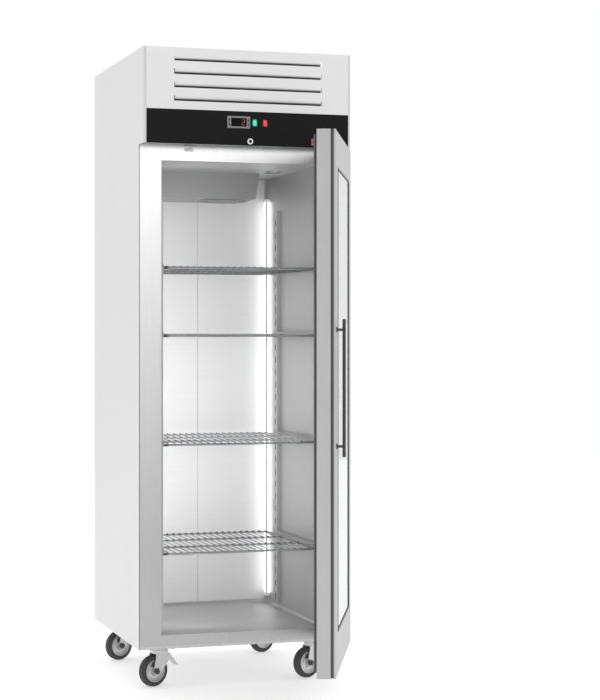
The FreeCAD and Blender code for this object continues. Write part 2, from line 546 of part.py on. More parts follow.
def shelf(level):
    """Wire shelf: a rod frame, two cross rods and close wires that run front to back."""
    rod_z, wire_z = level - 2 * WIRE_RADIUS - ROD_RADIUS, level - WIRE_RADIUS
    front, back = SHELF_FRONT + ROD_RADIUS, SHELF_BACK - ROD_RADIUS
    side = SHELF_HALF - ROD_RADIUS
    pieces = [rod((-SHELF_HALF, y, rod_z), (SHELF_HALF, y, rod_z), ROD_RADIUS) for y in (front, back)]
    pieces += [rod((x, front + ROD_RADIUS, rod_z), (x, back - ROD_RADIUS, rod_z), ROD_RADIUS)
               for x in (-side, side)]
    pieces += [rod((-side + ROD_RADIUS, y, rod_z), (side - ROD_RADIUS, y, rod_z), ROD_RADIUS)
               for y in CROSS_ROD_Y]
    count = int(2 * side / WIRE_STEP)
    first = -WIRE_STEP * count / 2
    pieces += [rod((first + k * WIRE_STEP, SHELF_FRONT + 1, wire_z),
                   (first + k * WIRE_STEP, SHELF_BACK - 1, wire_z), WIRE_RADIUS) for k in range(count + 1)]
    return group(pieces)


# ---------------------------------------------------------------- door
def swung(shape):
    shape.rotate(Vector(HINGE_X, HINGE_Y, 0), Z_AXIS, DOOR_OPEN_ANGLE)
    return shape


def hinge_bores():
    low = rod((HINGE_X, HINGE_Y, DOOR_BOTTOM - 1), (HINGE_X, HINGE_Y, DOOR_BOTTOM + BUSH_LENGTH), BUSH_RADIUS)
    high = rod((HINGE_X, HINGE_Y, DOOR_TOP - BUSH_LENGTH), (HINGE_X, HINGE_Y, DOOR_TOP + 1), BUSH_RADIUS)
    return low.fuse(high)


def door_strips(half, grow, side, bottom, top, y0, y1):
    strips = frame_strips(half, DOOR_BOTTOM + grow, DOOR_TOP - grow, side, bottom, top, y0, y1)
    return [strip.cut(hinge_bores()) for strip in strips]


def door_skin():
    """Outer stainless face round the glass."""
    return swung(group(door_strips(DOOR_HALF, 0, STILE, BOTTOM_RAIL, TOP_RAIL, y_hood, y_hood + SKIN_THICK)))


def door_core():
    """Dark plastic band between the outer face and the inner frame, set back a little."""
    y0 = y_hood + SKIN_THICK
    return swung(group(door_strips(DOOR_HALF - 2, 2, STILE + 6, BOTTOM_RAIL + 6, TOP_RAIL + 6, y0, y0 + CORE_THICK)))


def door_liner():
    """Inner frame: the grey edge of the door, with the lock's keeper pocket in its top."""
    y0 = y_hood + SKIN_THICK + CORE_THICK
    strips = door_strips(DOOR_HALF, 0, STILE, BOTTOM_RAIL, TOP_RAIL, y0, y_door_in)
    pocket = box(LOCK_X - 9, LOCK_X + 28, y_cam - 3, y_cam + CAM_THICK + 3, DOOR_TOP - 14, DOOR_TOP + 1)
    return swung(group([strip.cut(pocket) for strip in strips]))


def door_glass():
    """Outer pane flush in the face, inner pane in the inner frame."""
    half = DOOR_HALF - STILE
    z0, z1 = DOOR_BOTTOM + BOTTOM_RAIL, DOOR_TOP - TOP_RAIL
    outer = box(-half, half, y_hood + 1, y_hood + SKIN_THICK, z0, z1)
    inner = box(-half, half, y_door_in - 24, y_door_in - 20, z0, z1)
    return swung(group([outer, inner]))


def door_gasket():
    """Magnetic seal on the inner face; it stands 0.3 mm off the cabinet when shut."""
    half = DOOR_HALF - GASKET_INSET
    return swung(group(frame_strips(half, DOOR_BOTTOM + GASKET_INSET, DOOR_TOP - GASKET_INSET,
                                    GASKET_W, GASKET_W, GASKET_W, y_door_in, y_face - 0.3)))


def door_handle():
    """Round bar on two posts."""
    y_bar = y_hood - HANDLE_STANDOFF
    bar = rod((HANDLE_X, y_bar, HANDLE_BOTTOM), (HANDLE_X, y_bar, HANDLE_TOP), HANDLE_RADIUS)
    bar = bar.makeFillet(1.5, [edge for edge in bar.Edges if edge.Closed])
    middle = (HANDLE_BOTTOM + HANDLE_TOP) / 2
    for z in (middle - POST_SPACING / 2, middle + POST_SPACING / 2):
        bar = bar.fuse(rod((HANDLE_X, y_bar, z), (HANDLE_X, y_hood, z), POST_RADIUS))
    return swung(bar.removeSplitter())


def hinge_bushes():
    """Plastic bushes pressed into the door's ends, round the hinge pins."""
    bore = rod((HINGE_X, HINGE_Y, 0), (HINGE_X, HINGE_Y, HEIGHT), PIN_RADIUS + 0.2)
    return swung(group([piece.cut(bore) for piece in (
        rod((HINGE_X, HINGE_Y, DOOR_BOTTOM), (HINGE_X, HINGE_Y, DOOR_BOTTOM + BUSH_LENGTH), BUSH_RADIUS),
        rod((HINGE_X, HINGE_Y, DOOR_TOP - BUSH_LENGTH), (HINGE_X, HINGE_Y, DOOR_TOP), BUSH_RADIUS))]))


def hinge_bracket(z0, z1, y_end):
    """Flat arm from the cabinet out to the hinge pin, with a rounded nose."""
    arm = box(HINGE_X - 16, HINGE_X + 7, HINGE_Y, y_end, z0, z1)
    nose = Part.makeCylinder(7, z1 - z0, Vector(HINGE_X, HINGE_Y, z0))
    return arm.fuse(nose)


def hinge_brackets():
    """Top arm under the hood and bottom arm under the base, each with its pin."""
    low = hinge_bracket(BODY_BOTTOM - 4, BODY_BOTTOM, y_face + 70)
    low = low.fuse(rod((HINGE_X, HINGE_Y, BODY_BOTTOM), (HINGE_X, HINGE_Y, DOOR_BOTTOM + 18), PIN_RADIUS))
    washer = Part.makeCylinder(6.5, DOOR_BOTTOM - BODY_BOTTOM - 0.4, Vector(HINGE_X, HINGE_Y, BODY_BOTTOM))
    high = hinge_bracket(HOOD_BOTTOM - 3.5, HOOD_BOTTOM, y_face)
    high = high.fuse(rod((HINGE_X, HINGE_Y, DOOR_TOP - 18), (HINGE_X, HINGE_Y, HOOD_BOTTOM - 3.5), PIN_RADIUS))
    return group([low.fuse(washer).removeSplitter(), high.removeSplitter()])


# ---------------------------------------------------------------- casters
def caster_spots():
    return {"front_left": (-CASTER_X, CASTER_Y_FRONT), "front_right": (CASTER_X, CASTER_Y_FRONT),
            "rear_left": (-CASTER_X, CASTER_Y_BACK), "rear_right": (CASTER_X, CASTER_Y_BACK)}


def placed(shape, spot):
    """Turn a caster piece to its heading and move it under its mount; its wheel trails along -X."""
    shape.rotate(Vector(0, 0, 0), Z_AXIS, CASTER_HEADING)
    shape.translate(Vector(spot[0], spot[1], 0))
    return shape


def caster_mounts():
    """Top plates with their bearing housings, and four bolt heads on each."""
    pieces = []
    for x, y in caster_spots().values():
        plate = box(x - 45, x + 45, y - 40, y + 40, BODY_BOTTOM - 3, BODY_BOTTOM)
        plate = plate.makeFillet(6, [edge for edge in plate.Edges if abs(edge.Length - 3) < 0.01])
        housing = Part.makeCylinder(26, 9, Vector(x, y, BODY_BOTTOM - 12))
        pieces.append(plate.fuse(housing).removeSplitter())
        pieces += [Part.makeCylinder(6, 5, Vector(x + dx, y + dy, BODY_BOTTOM - 8))
                   for dx in (-36, 36) for dy in (-30, 30)]
    return group(pieces)


def caster_fork(spot):
    """Swivel head, two legs and the axle with its nuts."""
    head = Part.makeCylinder(28, 10, Vector(0, 0, BODY_BOTTOM - 12.3 - 10))
    leg_inner = WHEEL_WIDTH / 2 + FORK_GAP
    leg_outer = leg_inner + FORK_SHEET
    side = [(-TRAIL - 12, leg_inner, 44), (-TRAIL + 12, leg_inner, 40), (26, leg_inner, 84), (26, leg_inner, 104.7),
            (-24, leg_inner, 104.7)]
    leg = prism(side, (0, FORK_SHEET, 0))
    axle = rod((-TRAIL, -leg_inner - 10, WHEEL_RADIUS), (-TRAIL, leg_inner + 10, WHEEL_RADIUS), AXLE_RADIUS)
    leg = leg.cut(axle)
    far_leg = leg.mirror(Vector(0, 0, 0), Y_AXIS)
    sleeve = rod((-TRAIL, -leg_outer - 6, WHEEL_RADIUS), (-TRAIL, -leg_outer, WHEEL_RADIUS), 9).cut(axle)
    nut = sleeve.mirror(Vector(0, 0, 0), Y_AXIS)
    return placed(group([head, leg, far_leg, axle, sleeve, nut]), spot)


def caster_wheel(spot):
    """Rubber tyre on a plated hub."""
    half = WHEEL_WIDTH / 2
    tyre = rod((-TRAIL, -half, WHEEL_RADIUS), (-TRAIL, half, WHEEL_RADIUS), WHEEL_RADIUS)
    tyre = tyre.makeFillet(9, [edge for edge in tyre.Edges if edge.Closed])
    hub_outer = rod((-TRAIL, -half - 2, WHEEL_RADIUS), (-TRAIL, half + 2, WHEEL_RADIUS), HUB_RADIUS)
    tyre = tyre.cut(hub_outer)
    hub = rod((-TRAIL, -half + 4, WHEEL_RADIUS), (-TRAIL, half - 4, WHEEL_RADIUS), HUB_RADIUS)
    hub = hub.fuse(rod((-TRAIL, -half - 2, WHEEL_RADIUS), (-TRAIL, half + 2, WHEEL_RADIUS), 13))
    bore = rod((-TRAIL, -half - 5, WHEEL_RADIUS), (-TRAIL, half + 5, WHEEL_RADIUS), AXLE_RADIUS + 0.3)
    return placed(group([tyre, hub.cut(bore).removeSplitter()]), spot)


def brake_pedal(spot):
    """Pressed-sheet pedal on the leading side of the fork, in its pressed position."""
    half = PEDAL_HALF
    profile = [(PEDAL_PIVOT_X - 2, -half, PEDAL_PIVOT_Z + 3), (PEDAL_PIVOT_X + 38, -half, PEDAL_PIVOT_Z - 17),
               (PEDAL_PIVOT_X + 44, -half, PEDAL_PIVOT_Z - 17), (PEDAL_PIVOT_X + 44, -half, PEDAL_PIVOT_Z - 20),
               (PEDAL_PIVOT_X + 37, -half, PEDAL_PIVOT_Z - 20), (PEDAL_PIVOT_X - 2, -half, PEDAL_PIVOT_Z - 1)]
    pedal = prism(profile, (0, 2 * half, 0))
    pin = rod((PEDAL_PIVOT_X, -half, PEDAL_PIVOT_Z), (PEDAL_PIVOT_X, half, PEDAL_PIVOT_Z), 3.2)
    pedal = pedal.fuse(pin).removeSplitter()
    pedal.rotate(Vector(PEDAL_PIVOT_X, 0, PEDAL_PIVOT_Z), Y_AXIS, PEDAL_PRESSED)
    return placed(pedal, spot)


# ---------------------------------------------------------------- write every node
def all_nodes():
    right_panel = side_panel()
    nodes = {"left_side_panel": mirrored(right_panel), "right_side_panel": right_panel}
    for maker in (back_panel, base_pan, insulation, inner_liner, front_frame, grille_panel, control_panel,
                  hood_base, controller_case, lock_barrel, lock_plug, door_switch_case, door_switch_plunger,
                  machine_deck, compressor, condenser_coil, condenser_fan_shroud, condenser_fan_blades,
                  refrigerant_pipes, electrical_box, rear_guard, evaporator_cover, evaporator_coil,
                  evaporator_fan_motor, evaporator_fan_blades, led_lamps, pilasters, shelf_runners,
                  door_skin, door_core, door_liner, door_glass, door_gasket, door_handle, hinge_bushes,
                  hinge_brackets, caster_mounts):
        nodes[maker.__name__] = maker()
    for number, (x, z) in enumerate(button_centres(), 1):
        nodes[f"controller_button_{number}"] = controller_button(x, z)
    nodes["switch_frames"] = group([switch_frame(POWER_X), switch_frame(LIGHT_X)])
    nodes["power_rocker"] = rocker(POWER_X)
    nodes["light_rocker"] = rocker(LIGHT_X)
    for number, level in enumerate(SHELF_LEVELS, 1):
        nodes[f"shelf_{number}"] = shelf(level)
    for name, spot in caster_spots().items():
        nodes[f"caster_fork_{name}"] = caster_fork(spot)
        nodes[f"caster_wheel_{name}"] = caster_wheel(spot)
        if name.startswith("front"):
            nodes[f"brake_pedal_{name}"] = brake_pedal(spot)
    return nodes


os.makedirs("parts", exist_ok=True)
for node_name, node_shape in all_nodes().items():
    node_shape.exportStep(f"parts/{node_name}.step")
    print(node_name, len(node_shape.Solids), "solid(s)", round(node_shape.Volume / 1000, 1), "cm3",
          "" if node_shape.isValid() else "NOT VALID")
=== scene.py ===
# %% [markdown]
# # A reach-in refrigerator, finished in Blender
#
# The cabinet, the door, the shelves and the casters arrive as a finished, measured model in
# metres, with the floor at zero and the front facing -Y. Nothing in it is moved here. The cells
# below put it in a small studio, work out the parts that want a softer or finer shape than the
# measured model has, and give every surface its own finish.

# %% Load the measured model
import json
import math

import bmesh
import bpy
import numpy as np
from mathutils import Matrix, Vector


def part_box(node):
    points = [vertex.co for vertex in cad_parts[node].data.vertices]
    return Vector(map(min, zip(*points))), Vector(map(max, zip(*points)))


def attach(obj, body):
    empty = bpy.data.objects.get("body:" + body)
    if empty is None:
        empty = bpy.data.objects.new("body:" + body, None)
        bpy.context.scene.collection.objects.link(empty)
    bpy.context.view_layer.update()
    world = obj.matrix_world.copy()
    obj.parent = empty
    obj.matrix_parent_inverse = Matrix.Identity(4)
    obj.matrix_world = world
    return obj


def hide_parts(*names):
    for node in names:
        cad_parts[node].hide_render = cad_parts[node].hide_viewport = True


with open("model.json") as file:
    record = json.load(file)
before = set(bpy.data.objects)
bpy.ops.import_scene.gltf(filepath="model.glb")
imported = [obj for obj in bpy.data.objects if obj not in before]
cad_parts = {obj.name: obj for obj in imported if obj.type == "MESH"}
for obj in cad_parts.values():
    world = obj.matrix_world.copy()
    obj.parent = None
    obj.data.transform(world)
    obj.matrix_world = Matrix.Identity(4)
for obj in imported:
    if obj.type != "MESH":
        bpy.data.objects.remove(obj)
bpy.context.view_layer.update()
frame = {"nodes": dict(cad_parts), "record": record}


def edge(node, corner, axis):
    """One face of a node's box in millimetres: corner 0 is the lowest, 1 the highest."""
    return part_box(node)[corner][axis] * 1000.0


def centre_of(node, axis):
    """The middle of a node's box along one axis, in millimetres."""
    return (edge(node, 0, axis) + edge(node, 1, axis)) / 2


node_slot = {row["node"]: row["material_slot"] for row in frame["record"]["subparts"]}
WALL = edge("led_lamps", 1, 0)
SHELF_HALF = edge("shelf_1", 1, 0)
FACE = -375.0
HINGE, DOOR_ANGLE = (330.0, -363.0), 67.0
print("cavity half width", round(WALL, 1), "shelf half width", round(SHELF_HALF, 1))

# %% [markdown]
# ## The studio
#
# A tall cabinet looks wrong when its uprights lean together. The camera could be tilted, as a
# hand-held one is. Here it stays level and its film is shifted a little instead, so uprights stay
# upright. A long lens from six metres away keeps the edges nearly parallel.

# %% Camera
scene = bpy.context.scene
camera_data = bpy.data.cameras.new("camera")
camera_data.sensor_width = 36.0
camera_data.lens = 96.87
camera_data.shift_y = -0.0259
camera = bpy.data.objects.new("camera", camera_data)
camera.location = (-1.6613, -6.075, 1.1239)
camera.rotation_euler = (math.radians(90.0), 0.0, math.radians(-17.8))
scene.collection.objects.link(camera)
scene.camera = camera
print("camera stands", round(camera.location.length, 2), "m from the cabinet's foot")

# %% [markdown]
# ### Lights
#
# A steel cabinet is a mirror with a soft blur, so what it looks like is mostly what stands round
# it. Small lamps would leave hard spots, so the lamps here are wide panels. One large soft light
# hangs high in front, on the right, and a narrow one stands in for the lamps inside. That one
# gives no mirror image, so no rod shows a hot spot.


# %% Lights
def soft_light(name, place, aim, size, power):
    """A rectangular lamp of that width and height at a place, turned to shine on a point."""
    data = bpy.data.lights.new(name, "AREA")
    data.shape = "RECTANGLE"
    data.size, data.size_y = size
    data.energy = power
    lamp = bpy.data.objects.new(name, data)
    lamp.location = place
    away = lamp.location - type(lamp.location)(aim)
    lamp.rotation_euler = away.to_track_quat("Z", "Y").to_euler()
    scene.collection.objects.link(lamp)
    return lamp


soft_light("key_light", (0.75, -4.6, 2.45), (-0.3, -0.3, 1.6), (1.7, 1.2), 8.0)
cavity_fill = soft_light("cavity_fill", (-0.17, -0.27, 0.90), (-0.03, 0.325, 0.92),
                         (0.06, 1.25), 8.0)
cavity_fill.visible_glossy = False

scene.view_settings.view_transform = "Standard"
print(len(bpy.data.lights), "lights")

# %% [markdown]
# ## Finishes as arithmetic
#
# A finish is a small sum: so much grain, plus so much cloud, turned into a roughness or a colour.
# Placing each node by hand hides that sum. A Signal is a value that flows between shader nodes,
# and adding or multiplying signals adds the Math nodes, so the sum can be read in one line.


# %% A value between shader nodes
class Signal:
    """One output socket. Arithmetic on it makes Math nodes in the same tree."""

    def __init__(self, owner, socket):
        self.owner, self.socket = owner, socket

    def combined(self, operation, first, second):
        return self.owner.node("ShaderNodeMath", {"operation": operation}, {0: first, 1: second})

    def __add__(self, other):
        return self.combined("ADD", self, other)

    def __radd__(self, other):
        return self.combined("ADD", other, self)

    def __sub__(self, other):
        return self.combined("SUBTRACT", self, other)

    def __rsub__(self, other):
        return self.combined("SUBTRACT", other, self)

    def __mul__(self, other):
        return self.combined("MULTIPLY", self, other)

    def __rmul__(self, other):
        return self.combined("MULTIPLY", other, self)


# %% [markdown]
# ### One way to add a node
#
# Nodes that aren't sums, such as noise or bump, all come through one method: settings first, then
# sockets. A Finish is the tree of one material, with the few moves that every finish needs: a
# place to read the pattern at, noise, two shades, and relief.


# %% Nodes, and one material
class NodeTree:
    """The nodes of one material, or of the room."""

    def __init__(self, tree):
        self.tree = tree

    def node(self, kind, settings=None, inputs=None, output=0):
        """Adds a node: its settings first, then the value or link of each socket."""
        made = self.tree.nodes.new(kind)
        for setting, value in (settings or {}).items():
            if setting == "stops":
                ramp = made.color_ramp.elements
                while len(ramp) < len(value):
                    ramp.new(0.5)
                for stop, (place, colour) in zip(ramp, value):
                    stop.position = place
                    stop.color = (*colour, 1.0)
            else:
                setattr(made, setting, value)
        for socket, value in (inputs or {}).items():
            if isinstance(value, Signal):
                self.tree.links.new(value.socket, made.inputs[socket])
            else:
                made.inputs[socket].default_value = value
        return Signal(self, made.outputs[output])


class Finish(NodeTree):
    """A material in the making: a Principled shader and the nodes that feed it."""

    def __init__(self, name, **fixed):
        self.material = bpy.data.materials.new(name)
        self.material.use_nodes = True
        super().__init__(self.material.node_tree)
        self.shader = self.tree.nodes["Principled BSDF"]
        for socket, value in fixed.items():
            self.shader.inputs[socket.replace("_", " ")].default_value = value

    def place(self, stretch=(1.0, 1.0, 1.0), turn=0.0):
        """Where a point is on the object, turned about the upright axis and then stretched."""
        where = self.node("ShaderNodeTexCoord", output="Object")
        turned = self.node("ShaderNodeMapping", {"vector_type": "POINT"},
                           {"Vector": where, "Rotation": (0.0, 0.0, turn)})
        return self.node("ShaderNodeMapping", {"vector_type": "POINT"},
                         {"Vector": turned, "Scale": stretch})

    def noise(self, where, scale=1.0, detail=3.0):
        return self.node("ShaderNodeTexNoise", None,
                         {"Vector": where, "Scale": scale, "Detail": detail}, "Fac")

    def shade(self, mask, dark, light):
        """A colour between dark and light, as the mask goes from 0.3 to 0.7."""
        return self.node("ShaderNodeValToRGB", {"stops": [(0.3, dark), (0.7, light)]}, {"Fac": mask})

    def feed(self, **signals):
        for socket, signal in signals.items():
            self.tree.links.new(signal.socket, self.shader.inputs[socket.replace("_", " ")])

    def relief(self, height, depth, strength=1.0):
        """Bump of that depth, in metres."""
        normal = self.node("ShaderNodeBump", None,
                           {"Height": height, "Distance": depth, "Strength": strength}, "Normal")
        self.feed(Normal=normal)


def grey(level):
    return (level, level, level)


def scaled(colour, share):
    """A colour made darker or lighter, and never over 1."""
    return tuple(min(channel * share, 1.0) for channel in colour)


# %% [markdown]
# ## The room
#
# What a camera sees behind the cabinet and what its steel mirrors needn't be the same. Here the
# backdrop is plain white to the camera. For reflections it darkens smoothly towards the front,
# which gives the front face its soft shade. A sky picture could do this too, but one number along
# one direction is enough.

# %% Pale room
DIM_FRONT = 0.62
room = bpy.data.worlds.new("pale_room")
scene.world = room
room.use_nodes = True
sky = NodeTree(room.node_tree)
direction = sky.node("ShaderNodeTexCoord", output="Generated")
depth = sky.node("ShaderNodeSeparateXYZ", None, {"Vector": direction}, "Y")
brightness = sky.node("ShaderNodeMapRange", {"interpolation_type": "SMOOTHSTEP"},
                      {"Value": depth, "From Min": -0.95, "From Max": 0.1,
                       "To Min": DIM_FRONT, "To Max": 1.0})
seen_directly = sky.node("ShaderNodeLightPath", output="Is Camera Ray")
backdrop = sky.node("ShaderNodeMath", {"operation": "MAXIMUM"}, {0: brightness, 1: seen_directly})
background = sky.tree.nodes["Background"].inputs
background["Color"].default_value = (1.0, 1.0, 1.0, 1.0)
sky.tree.links.new(backdrop.socket, background["Strength"])
print("the room has", len(sky.tree.nodes), "nodes")


# %% [markdown]
# ## Brushed steel
#
# The sheets are stainless steel, brushed on a belt. The belt leaves scratches that are metres
# long and a fraction of a millimetre wide, so the pattern is noise stretched about two hundred
# times along the grain. The grain changes the roughness more than the colour. A second, slow
# cloud stands for wiped and handled places.


# %% Steel finishes
def brushed_steel(name, light, rough, across, turn=0.0, contrast=0.05, metal=1.0):
    """Steel whose fine grain runs at right angles to the axis with the large stretch."""
    finish = Finish(name, Metallic=metal)
    grain = finish.noise(finish.place(across, turn), 1.0, 2.0)
    cloud = finish.noise(finish.place((2.0, 2.0, 2.0)), 1.0, 2.0)
    tone = grain * 0.6 + cloud * 0.4
    finish.feed(Base_Color=finish.shade(tone, grey(light - contrast), grey(light + contrast)))
    finish.feed(Roughness=grain * 0.16 + cloud * 0.10 + (rough - 0.13))
    finish.relief(grain, 0.00002, 0.5)
    return finish.material


LEVEL_GRAIN = (4.0, 4.0, 900.0)
UPRIGHT_GRAIN = (900.0, 4.0, 4.0)
finishes = {
    "stainless_outer": brushed_steel("outer_steel", 0.72, 0.42, LEVEL_GRAIN, contrast=0.03, metal=0.45),
    "stainless_inner": brushed_steel("inner_steel", 0.56, 0.46, LEVEL_GRAIN, contrast=0.03, metal=0.75),
    "zinc": brushed_steel("zinc_plate", 0.58, 0.34, (300.0, 300.0, 300.0)),
}
door_steel = brushed_steel("door_steel", 0.50, 0.44, UPRIGHT_GRAIN, -math.radians(DOOR_ANGLE),
                           0.03, 0.5)
cover_steel = brushed_steel("evaporator_steel", 0.44, 0.44, LEVEL_GRAIN, contrast=0.02, metal=0.8)
# A lighter, more diffuse copy of the inner steel for the back lining: painted light on the back wall.
lining_painted_light = brushed_steel("lining_painted_light", 0.80, 0.50, LEVEL_GRAIN, contrast=0.03, metal=0.35)

# %% [markdown]
# ## Steel with painted light and shade
#
# Two sheets need more than an even grain. The frame round the opening is polished, and its colour is
# painted lighter at the top and darker towards the foot: painted light and shade. The louvred sheet
# is painted dark behind its face, so that each slot reads as a dark gap: painted shade in the
# recesses. Both use one coordinate as a mask.


# %% Frame and louvre finishes
def masked_steel(name, axis, low, high, tone_low, tone_high, rough, metal, across):
    """Steel whose tone goes smoothly from one value to another between two places on an axis, as
    painted light and shade.
    """
    finish = Finish(name, Metallic=metal)
    grain = finish.noise(finish.place(across), 1.0, 2.0)
    along = finish.node("ShaderNodeSeparateXYZ", None, {"Vector": finish.place()}, axis)
    mask = finish.node("ShaderNodeMapRange", {"interpolation_type": "SMOOTHSTEP"},
                       {"Value": along, "From Min": low, "From Max": high})
    stops = [(0.0, grey(tone_low)), (1.0, grey(tone_high))]
    tone = finish.node("ShaderNodeValToRGB", {"stops": stops}, {"Fac": mask + (grain - 0.5) * 0.12})
    finish.feed(Base_Color=tone, Roughness=grain * 0.14 + (rough - 0.07))
    finish.relief(grain, 0.00002, 0.4)
    return finish.material


# Painted light and shade: the frame's colour is lighter at the top and darker towards the foot.
frame_painted_shading = masked_steel("frame_painted_shading", "Z", 0.30, 1.35, 0.48, 0.97, 0.30, 1.0,
                           (300.0, 4.0, 4.0))
# Painted shade: the louvred sheet darkens behind its face, so each slot reads as a dark gap.
louvre_painted_shade = masked_steel("louvre_painted_shade", "Y", FACE * 0.001 + 0.00005, -0.3690, 0.85, 0.05,
                            0.42, 0.45, LEVEL_GRAIN)
print(len(finishes), "metal finishes by slot, and five for single sheets")

# %% [markdown]
# ## Galvanised sheet
#
# The back and the machine deck are dipped in zinc, which freezes into flat crystals a few
# millimetres across. Each crystal turns the light its own way. Noise would blur them together, so
# a cell pattern gives each one its own grey and its own roughness.

# %% Spangled zinc
CRYSTALS_PER_METRE = 170.0
spangle = Finish("spangled_zinc", Metallic=0.9)
cells = spangle.node("ShaderNodeTexVoronoi", {"feature": "F1"},
                     {"Vector": spangle.place(), "Scale": CRYSTALS_PER_METRE}, "Color")
cell_tone = spangle.node("ShaderNodeSeparateColor", None, {"Color": cells}, "Red")
spangle.feed(Base_Color=spangle.shade(cell_tone, grey(0.56), grey(0.64)))
spangle.feed(Roughness=cell_tone * 0.18 + 0.34)
finishes["galvanised"] = spangle.material
print("zinc crystals", round(1000.0 / CRYSTALS_PER_METRE, 1), "mm across")

# %% [markdown]
# ## Painted and moulded surfaces
#
# Powder paint has a fine orange peel, and moulded plastic has the grain of its mould. Both are a
# small bump from fine noise, with a little variation in gloss. What differs is the colour, the
# gloss, and the size and depth of the grain, so one function and a table make them all. The deep
# blacks also mirror less than their gloss alone would, or they would look grey.


# %% Paint, plastic and rubber
def coated(name, colour, rough, grain_size, depth, spread=0.15, **fixed):
    """A coloured surface with a fine grain: grain_size is its pitch in metres."""
    finish = Finish(name, **fixed)
    grain = finish.noise(finish.place(), 1.0 / grain_size, 2.0)
    cloud = finish.noise(finish.place(), 6.0, 2.0)
    tone = cloud * 0.7 + grain * 0.3
    finish.feed(Base_Color=finish.shade(tone, scaled(colour, 1.0 - spread),
                                        scaled(colour, 1.0 + spread)))
    finish.feed(Roughness=grain * 0.10 + cloud * 0.12 + (rough - 0.11))
    finish.relief(grain, depth, 0.6)
    return finish.material


coats = {
    "door_frame_grey": ("door_edge_grey", grey(0.50), 0.45, 0.0012, 0.00002, 0.04),
    "foam": ("insulating_foam", (0.83, 0.74, 0.50), 0.85, 0.0030, 0.0006),
    "dark_plastic": ("dark_plastic", grey(0.075), 0.55, 0.0010, 0.00004),
    "grey_plastic": ("grey_plastic", (0.27, 0.285, 0.285), 0.40, 0.0008, 0.00002),
    "white_plastic": ("white_plastic", (0.86, 0.86, 0.84), 0.32, 0.0008, 0.00001, 0.03),
    "compressor_black": ("compressor_enamel", grey(0.022), 0.34, 0.0030, 0.00010),
    "wheel_rubber": ("tyre_rubber", grey(0.045), 0.62, 0.0012, 0.00008),
    "gasket_rubber": ("seal_rubber", grey(0.125), 0.58, 0.0010, 0.00003),
}
blacks = {
    "black_panel": ("black_panel_paint", grey(0.006), 0.42, 0.0016, 0.00004, 0.16),
    "black_plastic": ("black_plastic", grey(0.008), 0.34, 0.0010, 0.00003, 0.20),
    "window_black": ("window_black", grey(0.004), 0.25, 0.0010, 0.00001, 0.06),
}
for slot, row in coats.items():
    finishes[slot] = coated(*row)
for slot, (*row, gloss) in blacks.items():
    finishes[slot] = coated(*row, Specular_IOR_Level=gloss)
print(len(finishes), "finishes so far")

# %% [markdown]
# ## Bright metal
#
# Chrome and copper are smooth metals with faint smears. A perfectly even gloss would look like
# plastic film, so slow noise moves the gloss a little.


# %% Smooth metals
def smooth_metal(name, colour, rough):
    """A polished metal whose gloss varies with faint smears."""
    finish = Finish(name, Metallic=1.0)
    smear = finish.noise(finish.place((9.0, 9.0, 30.0)), 1.0, 3.0)
    finish.feed(Base_Color=finish.shade(smear, scaled(colour, 0.90), colour))
    finish.feed(Roughness=smear * 0.12 + (rough - 0.06))
    return finish.material


metals = {
    "chrome": ("dull_chrome", (0.42, 0.42, 0.43), 0.24),
    "dark_chrome": ("dark_chrome", (0.11, 0.11, 0.115), 0.20),
    "hood_grey": ("hood_underside", (0.20, 0.20, 0.205), 0.42),
    "bright_steel": ("polished_ring", (0.93, 0.93, 0.93), 0.30),
    "copper": ("copper_pipe", (0.75, 0.38, 0.22), 0.28),
    "fins": ("fin_aluminium", (0.80, 0.81, 0.82), 0.34),
}
for slot, row in metals.items():
    finishes[slot] = smooth_metal(*row)
print(len(finishes), "finishes with the smooth metals")

# %% [markdown]
# ## Glass and light
#
# The glass is clear, so it takes its look from the rays that pass it. The lamps and the display
# give light of their own. A real lamp behind each cover would be slow and noisy, so the covers
# themselves glow, a little unevenly.


# %% Glass and glowing parts
def glowing(name, colour, glow, strength, rough=0.2):
    """A cover lit from inside, whose glow is faintly uneven."""
    finish = Finish(name, Roughness=rough, Emission_Strength=strength, Coat_Weight=0.4)
    patch = finish.noise(finish.place(), 60.0, 1.0)
    finish.feed(Base_Color=finish.shade(patch, scaled(colour, 0.9), colour))
    finish.feed(Emission_Color=finish.shade(patch, scaled(glow, 0.82), glow))
    return finish.material


pane = Finish("clear_pane", Transmission_Weight=1.0, IOR=1.45)
pane_smear = pane.noise(pane.place((3.0, 3.0, 5.0)), 1.0, 3.0)
pane.feed(Base_Color=pane.shade(pane_smear, (0.93, 0.97, 0.96), (0.96, 0.985, 0.98)))
pane.feed(Roughness=pane_smear * 0.02)
finishes["clear_glass"] = pane.material
finishes["green_lens"] = glowing("green_lens", (0.0, 0.34, 0.19), (0.02, 0.70, 0.38), 0.42)
finishes["red_lens"] = glowing("red_lens", (0.42, 0.012, 0.02), (0.80, 0.03, 0.05), 0.38)
finishes["lamp"] = glowing("lamp_lens", (0.95, 0.96, 0.98), (1.0, 1.0, 1.0), 1.6, 0.4)
print(len(finishes), "finishes in all")

# %% [markdown]
# ## Dress the measured model
#
# Every part of the measured model has a named material slot. A finish is chosen by that name, so
# no part is left plain. Seven parts then get a finish of their own, such as the door's face, whose
# sheet is cut the other way round and so has an upright grain.

